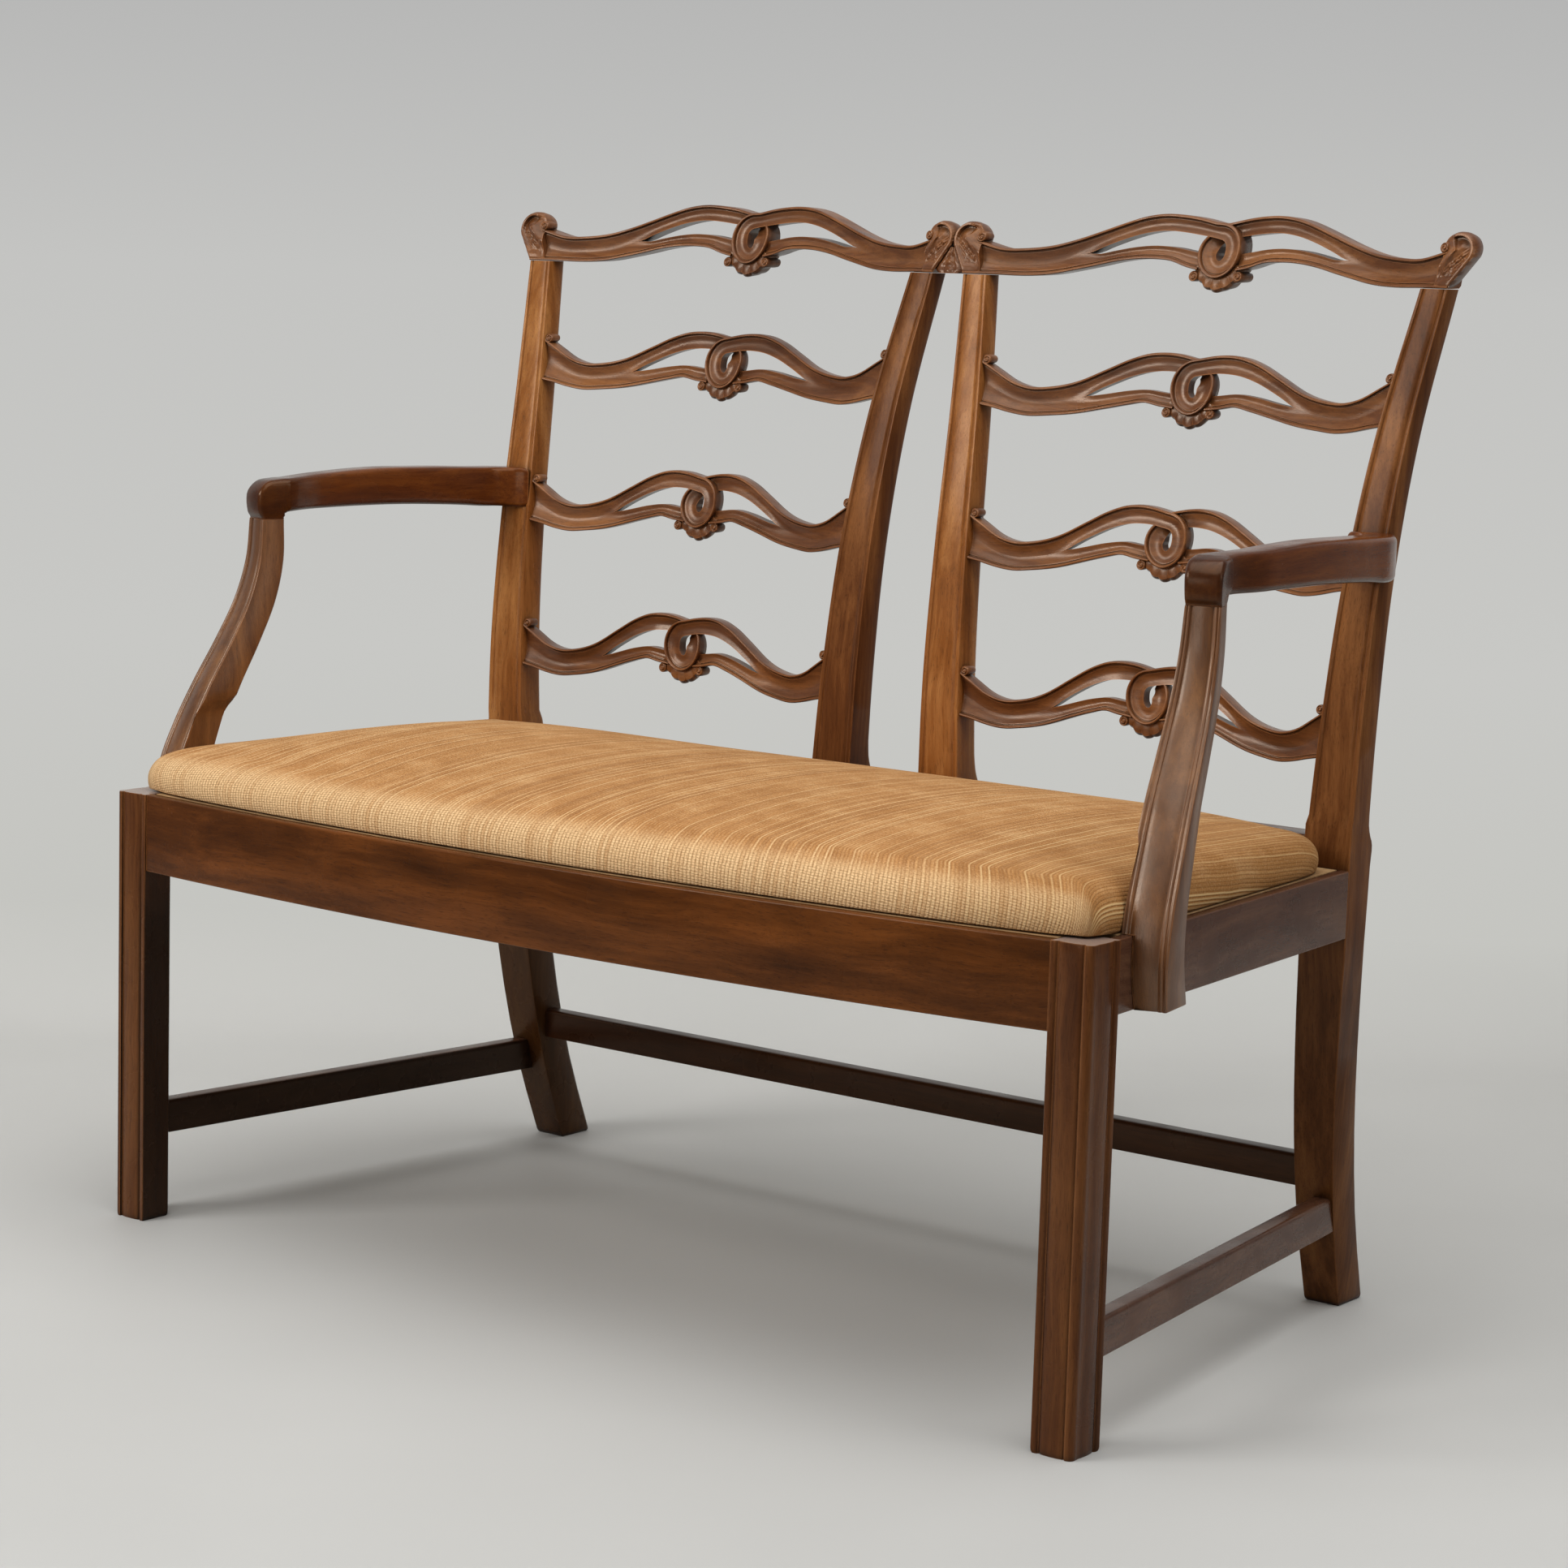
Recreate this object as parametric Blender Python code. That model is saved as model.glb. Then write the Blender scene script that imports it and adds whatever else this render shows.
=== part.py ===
"""Double chair-back settee with pierced ribbon rails and a drop-in seat.

A mahogany frame carries two ladder chair backs side by side. The two outer back posts run down
as the rear legs, the two inner ones stand on the rear seat rail, and the rails between them are
pierced, looped ribbons on a concave curve. Open arms lap round the outer posts and stand on
S-curved supports that are lapped on the outside of the side rails. The upholstered seat is a
frame of its own that drops into a rebate, and is the one piece that moves.

Metres, +Z up, the front faces -Y and +X is the viewer's right. While the pieces are made, y is
counted from the front faces of the front legs, and the last step centres the settee on the origin.
"""
from math import cos, pi, radians, sin

import bmesh
import bpy
from mathutils import Matrix, Vector

# Joinery
FIT_GAP = 0.0003
TENON_END_GAP = 0.001
CUT_OVERRUN = 0.002
SMALLEST_MERGE = 0.00001

# Seat frame
FRONT_HALF_WIDTH = 0.564
SEAT_DEPTH = 0.490
SEAT_HEIGHT = 0.424
RAIL_SETBACK = 0.0015
FRONT_RAIL_HEIGHT = 0.075
FRONT_RAIL_THICKNESS = 0.026
FRONT_RAIL_BOW = 0.034
SIDE_RAIL_HEIGHT = 0.062
SIDE_RAIL_THICKNESS = 0.022
REAR_RAIL_HEIGHT = 0.072
REAR_RAIL_RISE = 0.028
REAR_RAIL_THICKNESS = 0.033
REBATE_DEPTH = 0.020
REBATE_LIP = 0.0105
RAIL_TENON_LENGTH = 0.024
RAIL_TENON_THICKNESS = 0.009
RAIL_TENON_SHOULDER = 0.009

# Front legs
FRONT_LEG_WIDTH = 0.040
FRONT_LEG_DEPTH = 0.043
LEG_CHAMFER = 0.010
LEG_FLUTE_DEPTH = 0.0018
LEG_CORNER_REED = 0.0045
# Across a moulded face from its inner edge to the corner reed: place, and depth of cut
LEG_FACE_SHARES = ((0.0, 0.0), (0.13, 0.0), (0.17, 1.0), (0.23, 0.25), (0.50, 0.0), (0.77, 0.25), (0.83, 1.0))

# Chair backs
CHAIR_CENTRE = 0.2825
POST_SPACING = 0.216
POST_SPLAY = 0.0345
POST_RAKE = 0.082
POST_WIDTH = 0.048
POST_TOP_WIDTH = 0.0275
POST_DEPTH = 0.036
POST_TOP_DEPTH = 0.027
POST_BACK_ROUND = 0.007
POST_FLUTE_DEPTH = 0.0014
POST_TENON_LENGTH = 0.030
POST_TENON_WIDTH = 0.020
POST_TENON_THICKNESS = 0.012
CREST_TENON_LENGTH = 0.012
CREST_TENON_WIDTH = 0.013
CREST_TENON_THICKNESS = 0.009
SPLAY_SHARES = (0.0, 0.145, 0.28, 0.53, 1.0)
RAKE_SHARES = (0.0, 0.07, 0.26, 0.585, 1.0)
POST_STATIONS = 13

# Rear legs
REAR_LEG_DEPTH = 0.040
REAR_SHOULDER_DEPTH = 0.045
REAR_SHOULDER_RISE = 0.021
REAR_SHOULDER_LENGTH = 0.014
REAR_FOOT_WIDTH = 0.037
REAR_FOOT_DEPTH = 0.047
REAR_FOOT_SWEEP = 0.068
REAR_FOOT_CANT = 0.024
REAR_LEG_CHAMFER = 0.006
REAR_SWEEP_SHARES = (0.0, 0.11, 0.28, 0.565, 1.0)
REAR_LEG_STATIONS = 8

# Stretchers
SIDE_STRETCHER_HEIGHT = 0.033
REAR_STRETCHER_HEIGHT = 0.030
STRETCHER_THICKNESS = 0.019
STRETCHER_EASING = 0.004
SIDE_STRETCHER_LEVEL = 0.0945
SIDE_STRETCHER_INSET = 0.0018
REAR_STRETCHER_LEVEL = 0.130
STRETCHER_TENON_LENGTH = 0.018
STRETCHER_TENON_THICKNESS = 0.009
STRETCHER_TENON_SHOULDER = 0.006

# Ladder rails: each loop's place between the seat and the crest's loop, and how each rail bends
LADDER_RISE = 0.035
LADDER_THICKNESS = 0.016
LADDER_SETBACK = 0.005
LADDER_BEAD = 0.0045
LADDER_RELIEF = 0.002
LADDER_BACK_CHAMFER = 0.0025
LADDER_LOOP_RADIUS = 0.0255
LADDER_EYE_RADIUS = 0.0095
LADDER_LOOP_RISE = 0.003
LADDER_TENON_LENGTH = 0.010
LADDER_TENON_HEIGHT = 0.020
LADDER_TENON_THICKNESS = 0.008
LOWER_LOOP_SHARE = 0.2354
MIDDLE_LOOP_SHARE = 0.5035
UPPER_LOOP_SHARE = 0.7642
LOWER_SAG = 0.020
MIDDLE_SAG = 0.0225
UPPER_SAG = 0.026
LOWER_DROOP = 0.009
MIDDLE_DROOP = 0.0045
UPPER_DROOP = 0.0

# Crest rails
CREST_RISE = 0.0365
CREST_LOOP_HEIGHT = 0.9732
CREST_SEAT_DROP = 0.0263
CREST_THICKNESS = 0.025
CREST_SAG = 0.036
CREST_BEAD = 0.005
CREST_RELIEF = 0.0022
CREST_BACK_CHAMFER = 0.003
CREST_LOOP_RADIUS = 0.0255
CREST_EYE_RADIUS = 0.009
CREST_LOOP_RISE = 0.002
CREST_EAR_RADIUS = 0.0165
CREST_EAR_RISE = 0.0085
CREST_EAR_REACH = 0.0045
CREST_EAR_SHARE = 0.85
CREST_EAR_TURN = radians(25)
LEAF_BLOCK_THICKNESS = 0.021
# How far up the block between the ears, and what share of the room there it fills
LEAF_BLOCK_SHARES = ((0.0, 0.7), (0.12, 1.0), (0.45, 1.0), (0.92, 0.9))

# Outline of a ribbon rail from its loop to the post, as shares of its half length and of its rise:
# place along, arch's top edge, arch's under edge
LADDER_ARCH_SHARES = (
    (-0.03, 0.815, 0.37), (0.03, 0.90, 0.43), (0.09, 0.97, 0.49), (0.15, 1.0, 0.50), (0.22, 0.965, 0.46),
    (0.31, 0.80, 0.31), (0.42, 0.49, 0.03), (0.56, 0.11, -0.36), (0.68, -0.055, -0.49), (0.78, -0.08, -0.53),
    (0.87, 0.08, -0.44), (0.94, 0.34, -0.25), (1.0, 0.57, -0.05))
# place along, lower ribbon's top edge, its under edge
LADDER_BAND_SHARES = (
    (0.08, -0.12, -0.50), (0.15, -0.07, -0.45), (0.22, -0.02, -0.37), (0.31, -0.07, -0.46),
    (0.42, -0.19, -0.60), (0.56, -0.33, -0.77), (0.68, -0.46, -0.85), (0.78, -0.50, -0.885),
    (0.87, -0.41, -0.81), (0.94, -0.22, -0.71), (1.0, -0.02, -0.64))
CREST_ARCH_SHARES = (
    (-0.03, 0.74, 0.33), (0.03, 0.81, 0.40), (0.09, 0.905, 0.465), (0.16, 0.975, 0.53), (0.24, 1.0, 0.56),
    (0.32, 0.92, 0.48), (0.40, 0.74, 0.31), (0.48, 0.53, 0.09), (0.57, 0.30, -0.15), (0.67, 0.10, -0.37),
    (0.77, 0.01, -0.45), (0.87, 0.01, -0.46), (0.94, 0.14, -0.38), (1.0, 0.27, -0.27))
CREST_BAND_SHARES = (
    (0.07, -0.02, -0.46), (0.13, 0.055, -0.37), (0.19, 0.13, -0.23), (0.26, 0.165, -0.19),
    (0.34, 0.12, -0.21), (0.43, 0.0, -0.31), (0.50, -0.11, -0.43), (0.57, -0.12, -0.54), (0.67, -0.34, -0.68),
    (0.77, -0.42, -0.73), (0.87, -0.43, -0.7205), (0.94, -0.35, -0.7205), (1.0, -0.25, -0.7205))
# How far along a rail its droop has set in
DROOP_SHARES = (0.0, 0.0, 0.0, 0.1, 0.3, 0.58, 0.82, 0.95, 1.0, 1.0, 1.0)
# Right half of the shell and scroll under a loop, in shares of the loop's radius, from below upwards
SHELL_SHARES = (
    (0.0, -1.50), (0.25, -1.45), (0.40, -1.31), (0.55, -1.37), (0.71, -1.24), (0.85, -1.28), (1.10, -1.20),
    (1.31, -0.98), (1.32, -0.76), (1.14, -0.58), (0.90, -0.52), (0.6, -0.45))

# Arms
ARM_JOINT_HEIGHT = 0.684
ARM_BOTTOM_HEIGHT = 0.691
ARM_THICKNESS = 0.038
ARM_KNUCKLE_RADIUS = 0.006
ARM_KNUCKLE_THICKNESS = 0.031
ARM_WIDTH = 0.035
ARM_EASING = 0.006
ARM_BOW = 0.007
ARM_LAP_THICKNESS = 0.0052
ARM_LAP_LENGTH = 0.0095
ARM_FLARE = 0.020
ARM_TURN_SHARES = ((0.0, 1.0), (0.1, 1.14), (0.37, 1.36), (0.61, 1.28), (0.83, 1.08), (1.0, 1.0))
ARM_STATION_SHARES = (0.12, 0.3, 0.5, 0.7, 0.87)
# Along the arm's rest: its thickness and its middle's height above its underside, in thicknesses
ARM_THICKNESS_SHARES = (0.816, 0.93, 1.0, 1.03, 1.08)
ARM_LEVEL_SHARES = (0.408, 0.50, 0.55, 0.52, 0.447)
# Where the arm meets the post: how far behind its front in lap lengths, how much of the flare is
# left outside it, and how far over the post the inner side reaches
ARM_LAP_SHARES = ((-3.2, 1.0, 0.27), (-1.2, 0.65, 0.6), (-0.26, 0.33, 1.0), (0.1, 0.25, 0.5), (1.0, 0.0, 0.5))

# Arm supports
SUPPORT_SET = 0.0724
SUPPORT_PROUD = 0.0310
SUPPORT_LEAN = 0.0270
SUPPORT_SWEEP = 0.1020
SUPPORT_WIDTH = 0.0443
SUPPORT_TOP_WIDTH = 0.0310
SUPPORT_DEPTH = 0.0450
SUPPORT_TOP_DEPTH = 0.0245
SUPPORT_TURN = radians(10)
SUPPORT_TOP_TURN = radians(18)
SUPPORT_EASING = 0.003
SUPPORT_FLUTE_DEPTH = 0.0016
LEAN_SHARES = (0.12, 0.02, 0.03, 0.16, 0.37, 0.61, 0.82, 0.95, 1.0)
SWEEP_SHARES = (0.06, 0.0, 0.06, 0.22, 0.42, 0.645, 0.845, 0.965, 1.0)
WIDTH_SHARES = (0.0, 0.0, 0.03, 0.09, 0.2, 0.37, 0.58, 0.8, 1.0)
# Across the support's front: place along it, how deep the flute is there
SUPPORT_FRONT_SHARES = ((0.0, 0.0), (0.14, 0.0), (0.2, 1.0), (0.5, 0.3), (0.8, 1.0), (0.86, 0.0), (1.0, 0.0))
SUPPORT_STATIONS = 13

# Glued blocks and the bearer
CORNER_BLOCK_REACH = 0.062
CORNER_BLOCK_THICKNESS = 0.026
BEARER_WIDTH = 0.045
BEARER_THICKNESS = 0.028
LEDGE_WIDTH = 0.014
LEDGE_THICKNESS = 0.018

# Drop-in seat
SEAT_CLEARANCE = 0.0015
SEAT_BAR_WIDTH = 0.045
SEAT_TENON_LENGTH = 0.015
SEAT_TENON_THICKNESS = 0.007
WEBBING_THICKNESS = 0.0015
WEBBING_WIDTH = 0.050
WEBBING_LONG_BANDS = 4
WEBBING_CROSS_BANDS = 9
WEBBING_LAP = 0.022
PAD_EDGE_HEIGHT = 0.037
PAD_EDGE_ROLL = 0.020
PAD_CROWN = 0.019
PAD_TUCK = 0.003
PAD_CORNER_RADIUS = 0.022
PAD_CELLS_ALONG = 24
PAD_CELLS_DEEP = 11
# Down the pad's rolled edge: how far in as a share of the roll, how high as a share of the edge
PAD_EDGE_SHARES = ((1.0, 1.0), (0.58, 0.96), (0.25, 0.84), (0.06, 0.66), (0.0, 0.45), (0.0, 0.27))
SEAT_LIFT = 0.030

# Screws
SCREW_RADIUS = 0.0022
SCREW_HEAD_RADIUS = 0.0044
SCREW_HEAD_DEPTH = 0.0028
SUPPORT_SCREW_LENGTH = 0.036
SCREW_SIDES = 10
SUPPORT_SCREW_MARGIN = 0.012


def clear_scene():
    for item in list(bpy.data.objects):
        bpy.data.objects.remove(item, do_unlink=True)


def new_collection(name):
    collection = bpy.data.collections.new(name)
    bpy.context.scene.collection.children.link(collection)
    return collection


def material(name, colour, roughness, metallic=0.0):
    finish = bpy.data.materials.new(name)
    finish.use_nodes = True
    shader = finish.node_tree.nodes["Principled BSDF"]
    shader.inputs["Base Color"].default_value = (*colour, 1.0)
    shader.inputs["Roughness"].default_value = roughness
    shader.inputs["Metallic"].default_value = metallic
    return finish


def smooth(shares, at):
    """Value at a place from 0 to 1 of a smooth curve through an evenly spaced table."""
    last = len(shares) - 1
    place = min(max(at, 0.0), 1.0) * last
    index = min(int(place), last - 1)
    t = place - index
    here, there = shares[index:index + 2]
    before = shares[index - 1] if index else 2 * here - there
    after = shares[index + 2] if index + 2 <= last else 2 * there - here
    bend = 2 * before - 5 * here + 4 * there - after + t * (3 * (here - there) + after - before)
    return here + t * (there - before + t * bend) / 2


def blend(start, end, share):
    return start + (end - start) * share


def mesh_from(build_mesh):
    """A mesh datablock from a bmesh, with every face turned outwards."""
    bmesh.ops.recalc_face_normals(build_mesh, faces=build_mesh.faces[:])
    mesh = bpy.data.meshes.new("shape")
    build_mesh.to_mesh(mesh)
    build_mesh.free()
    return mesh


def loft(rings, closed=False):
    """A mesh through rings of equally many points, capped unless the rings close on themselves."""
    shape = bmesh.new()
    rows = [[shape.verts.new(point) for point in ring] for ring in rings]
    pairs = list(zip(rows, rows[1:]))
    if closed:
        pairs.append((rows[-1], rows[0]))
    else:
        shape.faces.new(rows[0])
        shape.faces.new(rows[-1])
    for near, far in pairs:
        for index in range(len(near)):
            after = (index + 1) % len(near)
            shape.faces.new((near[index], near[after], far[after], far[index]))
    return mesh_from(shape)


def block(low, high):
    """A box between two corners."""
    low, high = Vector(low), Vector(high)
    shape = bmesh.new()
    bmesh.ops.create_cube(shape, size=1.0)
    for vertex in shape.verts:
        vertex.co = Vector(blend(low[axis], high[axis], vertex.co[axis] + 0.5) for axis in range(3))
    return mesh_from(shape)


def turned_pin(radius, head_radius, length, head_depth):
    """A countersunk screw along +Z with its head's face at the origin."""
    outline = ((0.0, head_radius), (head_depth, radius), (length, radius))
    rings = []
    for height, reach in outline:
        angles = (2 * pi * step / SCREW_SIDES for step in range(SCREW_SIDES))
        rings.append([Vector((reach * cos(angle), reach * sin(angle), height)) for angle in angles])
    return loft(rings)


def plate(outlines, thickness):
    """A flat outline, with any further outlines as holes, of a thickness centred on the XY plane."""
    curve = bpy.data.curves.new("outline", "CURVE")
    curve.dimensions = "2D"
    curve.fill_mode = "BOTH"
    curve.extrude = thickness / 2
    for outline in outlines:
        spline = curve.splines.new("POLY")
        spline.points.add(len(outline) - 1)
        for point, (x, y) in zip(spline.points, outline):
            point.co = (x, y, 0.0, 1.0)
        spline.use_cyclic_u = True
    holder = bpy.data.objects.new("outline", curve)
    bpy.context.scene.collection.objects.link(holder)
    graph = bpy.context.evaluated_depsgraph_get()
    mesh = bpy.data.meshes.new_from_object(holder.evaluated_get(graph))
    bpy.data.objects.remove(holder)
    shape = bmesh.new()
    shape.from_mesh(mesh)
    bmesh.ops.remove_doubles(shape, verts=shape.verts[:], dist=SMALLEST_MERGE)
    return mesh_from(shape)


def moved(mesh, matrix):
    mesh.transform(matrix)
    return mesh


def upright(mesh):
    """Turns a plate drawn in x and height to stand in the XZ plane, its thickness along y."""
    return moved(mesh, Matrix.Rotation(pi / 2, 4, "X"))


def mapped(mesh, place):
    """Moves every vertex of a mesh by a function of its position, in flat triangles."""
    shape = bmesh.new()
    shape.from_mesh(mesh)
    bmesh.ops.triangulate(shape, faces=shape.faces[:])
    for vertex in shape.verts:
        vertex.co = place(vertex.co.copy())
    return mesh_from(shape)


def mirrored(mesh):
    """The same shape on the other side of the YZ plane."""
    copy = mesh.copy()
    copy.transform(Matrix.Scale(-1.0, 4, (1.0, 0.0, 0.0)))
    copy.flip_normals()
    return copy


def combined(mesh, others, operation):
    """A mesh joined with others, or cut by them."""
    base = bpy.data.objects.new("base", mesh)
    tools.objects.link(base)
    for other in others:
        tool = bpy.data.objects.new("tool", other)
        tool.hide_render = True
        tool.display_type = "WIRE"
        tools.objects.link(tool)
        step = base.modifiers.new("step", "BOOLEAN")
        step.operation = operation
        step.object = tool
    graph = bpy.context.evaluated_depsgraph_get()
    result = bpy.data.meshes.new_from_object(base.evaluated_get(graph))
    for item in list(tools.objects):
        bpy.data.objects.remove(item)
    result.materials.clear()
    return result


def joined(mesh, *others):
    return combined(mesh, others, "UNION")


def cut(mesh, *cutters):
    return combined(mesh, cutters, "DIFFERENCE")


def piece(name, mesh, finish, parent, crease=radians(35)):
    """A named sub-part with its own material, its edges sharp only where they turn steeply."""
    mesh.name = name
    mesh.materials.append(finish)
    mesh.shade_smooth()
    mesh.set_sharp_from_angle(angle=crease)
    part = bpy.data.objects.new(name, mesh)
    parts.objects.link(part)
    part.parent = parent
    return part


def both_sides(stem, mesh, finish, parent):
    """The right-hand piece as made and its mirror image on the left."""
    other = mirrored(mesh)
    piece(stem + "_right", mesh, finish, parent)
    piece(stem + "_left", other, finish, parent)


# Places that several pieces share

def front_rail_face(x):
    """How far back the bowed front rail's outer face lies at a place along it."""
    share = x / (FRONT_HALF_WIDTH - FRONT_LEG_WIDTH)
    return RAIL_SETBACK - FRONT_RAIL_BOW * (1 - share * share)


def rear_half_width():
    return CHAIR_CENTRE + POST_SPACING + POST_WIDTH / 2


def side_rail_face(y):
    """How far out the side rail's outer face lies."""
    share = (y - FRONT_LEG_DEPTH) / (SEAT_DEPTH - FRONT_LEG_DEPTH)
    return blend(FRONT_HALF_WIDTH - RAIL_SETBACK, rear_half_width(), share)


def post_top_height():
    return CREST_LOOP_HEIGHT - CREST_SEAT_DROP - FIT_GAP


def post_share(height):
    return (height - SEAT_HEIGHT) / (post_top_height() - SEAT_HEIGHT)


def post_front(height):
    """The raked front plane of the backs; above the posts it goes on at its last slope."""
    share = post_share(height)
    if share > 1:
        step = 1 / POST_STATIONS
        slope = (1 - smooth(RAKE_SHARES, 1 - step)) / step
        return SEAT_DEPTH + POST_RAKE * (1 + slope * (share - 1))
    return SEAT_DEPTH + POST_RAKE * smooth(RAKE_SHARES, share)


def post_half_spacing(height):
    return POST_SPACING + POST_SPLAY * smooth(SPLAY_SHARES, post_share(height))


def post_width(height):
    return blend(POST_WIDTH, POST_TOP_WIDTH, min(post_share(height), 1.0))


def post_depth(height):
    return blend(POST_DEPTH, POST_TOP_DEPTH, min(post_share(height), 1.0))


def rear_leg_share(height):
    """How far up a rear leg a height lies, from its foot to the underside of the rear rail."""
    return min(height / (SEAT_HEIGHT - REAR_RAIL_HEIGHT), 1.0)


def rear_leg_front(height):
    """The swept front face of a rear leg below the seat rails."""
    return SEAT_DEPTH + REAR_FOOT_SWEEP * smooth(REAR_SWEEP_SHARES, 1 - rear_leg_share(height))


def rear_leg_outer(height):
    return rear_half_width() - REAR_FOOT_CANT * (1 - rear_leg_share(height))


def rear_leg_width(height):
    return blend(REAR_FOOT_WIDTH, POST_WIDTH, rear_leg_share(height))


def rear_leg_depth(height):
    return blend(REAR_FOOT_DEPTH, REAR_LEG_DEPTH, rear_leg_share(height))


# Front legs

def moulded_leg_outline():
    """A front leg's section: two reeded outer faces, a corner reed and an inner chamfer."""
    width, depth, reed = FRONT_LEG_WIDTH, FRONT_LEG_DEPTH, LEG_CORNER_REED
    front = [(share * width, LEG_FLUTE_DEPTH * cut_share) for share, cut_share in LEG_FACE_SHARES]
    corner = [(width - reed + reed * sin(turn * pi / 6), reed - reed * cos(turn * pi / 6))
              for turn in range(4)]
    side = [(width - LEG_FLUTE_DEPTH * cut_share, depth * (1 - share))
            for share, cut_share in reversed(LEG_FACE_SHARES)]
    back = [(LEG_CHAMFER, depth), (0.0, depth - LEG_CHAMFER)]
    inner = FRONT_HALF_WIDTH - width
    return [(inner + x, y) for x, y in front + corner + side + back]


def front_leg():
    """A right-hand front leg from the floor to the top of the rails."""
    mesh = plate([moulded_leg_outline()], SEAT_HEIGHT)
    return moved(mesh, Matrix.Translation((0.0, 0.0, SEAT_HEIGHT / 2)))


def front_rail_tenon(clearance):
    """The tenon of the front rail in the right-hand leg, or with clearance its mortise."""
    inner = FRONT_HALF_WIDTH - FRONT_LEG_WIDTH
    middle = RAIL_SETBACK + FRONT_RAIL_THICKNESS / 2
    bottom = SEAT_HEIGHT - FRONT_RAIL_HEIGHT + RAIL_TENON_SHOULDER
    top = SEAT_HEIGHT - REBATE_DEPTH - RAIL_TENON_SHOULDER
    half = RAIL_TENON_THICKNESS / 2
    end_gap = TENON_END_GAP if clearance else 0.0
    return block((inner - CUT_OVERRUN, middle - half - clearance, bottom - clearance),
                 (inner + RAIL_TENON_LENGTH + end_gap, middle + half + clearance, top + clearance))


def side_rail_tenon(clearance, at_rear):
    """The side rail's tenon in the front leg or in the back post, or with clearance its mortise."""
    bottom = SEAT_HEIGHT - SIDE_RAIL_HEIGHT + RAIL_TENON_SHOULDER
    top = SEAT_HEIGHT - REBATE_DEPTH - RAIL_TENON_SHOULDER
    half = RAIL_TENON_THICKNESS / 2
    shoulder = SEAT_DEPTH if at_rear else FRONT_LEG_DEPTH
    ahead = 1 if at_rear else -1
    middle = side_rail_face(shoulder) - SIDE_RAIL_THICKNESS / 2
    length = RAIL_TENON_THICKNESS if at_rear else RAIL_TENON_LENGTH / 2
    end_gap = TENON_END_GAP if clearance else 0.0
    ends = sorted((shoulder - ahead * CUT_OVERRUN, shoulder + ahead * (length + end_gap)))
    return block((middle - half - clearance, ends[0], bottom - clearance),
                 (middle + half + clearance, ends[1], top + clearance))


def rear_rail_tenon(clearance):
    """The rear rail's tenon in the right-hand back post, or with clearance its mortise."""
    inner = rear_half_width() - POST_WIDTH
    middle = SEAT_DEPTH + POST_DEPTH / 2
    bottom = SEAT_HEIGHT - REAR_RAIL_HEIGHT + RAIL_TENON_SHOULDER
    top = SEAT_HEIGHT + REAR_RAIL_RISE - RAIL_TENON_SHOULDER
    half = RAIL_TENON_THICKNESS / 2
    end_gap = TENON_END_GAP if clearance else 0.0
    return block((inner - 2 * CUT_OVERRUN, middle - half - clearance, bottom - clearance),
                 (inner + RAIL_TENON_LENGTH + end_gap, middle + half + clearance, top + clearance))


def rebated_section(face, inward, bottom, lip, thickness):
    """Points of a rebated rail's section in one plane: outer face, top lip, rebate floor, inner face."""
    floor = SEAT_HEIGHT - REBATE_DEPTH
    return ((face, bottom), (face, SEAT_HEIGHT), (face + inward * lip, SEAT_HEIGHT),
            (face + inward * lip, floor), (face + inward * thickness, floor),
            (face + inward * thickness, bottom))


def front_rail():
    """The bowed front rail, rebated for the seat, with a tenon at each end."""
    half = FRONT_HALF_WIDTH - FRONT_LEG_WIDTH - FIT_GAP
    bottom = SEAT_HEIGHT - FRONT_RAIL_HEIGHT
    rings = []
    for step in range(17):
        x = half * (step / 8 - 1)
        section = rebated_section(front_rail_face(x), 1, bottom, REBATE_LIP, FRONT_RAIL_THICKNESS)
        rings.append([Vector((x, y, z)) for y, z in section])
    tenon = front_rail_tenon(0.0)
    return joined(loft(rings), tenon, mirrored(tenon))


def side_rail():
    """A right-hand side rail, rebated for the seat, between the front leg and the back post."""
    bottom = SEAT_HEIGHT - SIDE_RAIL_HEIGHT
    rings = []
    for y in (FRONT_LEG_DEPTH + FIT_GAP, SEAT_DEPTH - FIT_GAP):
        section = rebated_section(side_rail_face(y), -1, bottom, REBATE_LIP, SIDE_RAIL_THICKNESS)
        rings.append([Vector((x, y, z)) for x, z in section])
    return joined(loft(rings), side_rail_tenon(0.0, False), side_rail_tenon(0.0, True))


def inner_post_tenon(clearance):
    """The right-hand inner post's tenon in the rear rail, or with clearance its mortise."""
    centre = Vector((CHAIR_CENTRE - POST_SPACING, SEAT_DEPTH + POST_DEPTH / 2, SEAT_HEIGHT + REAR_RAIL_RISE))
    half = Vector((POST_TENON_WIDTH / 2 + clearance, POST_TENON_THICKNESS / 2 + clearance, 0.0))
    deep = Vector((0.0, 0.0, POST_TENON_LENGTH + (TENON_END_GAP if clearance else 0.0)))
    over = Vector((0.0, 0.0, 2 * CUT_OVERRUN))
    return block(centre - half - deep, centre + half + over)


def rear_rail():
    """The rear rail, taller than the others, with mortises for the two inner posts."""
    half = rear_half_width() - POST_WIDTH - FIT_GAP
    front = SEAT_DEPTH + (POST_DEPTH - REAR_RAIL_THICKNESS) / 2
    rail = block((-half, front, SEAT_HEIGHT - REAR_RAIL_HEIGHT),
                 (half, front + REAR_RAIL_THICKNESS, SEAT_HEIGHT + REAR_RAIL_RISE))
    tenon = rear_rail_tenon(0.0)
    mortise = inner_post_tenon(FIT_GAP)
    rail = joined(rail, tenon, mirrored(tenon))
    return cut(rail, mortise, mirrored(mortise))


# Back posts

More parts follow.
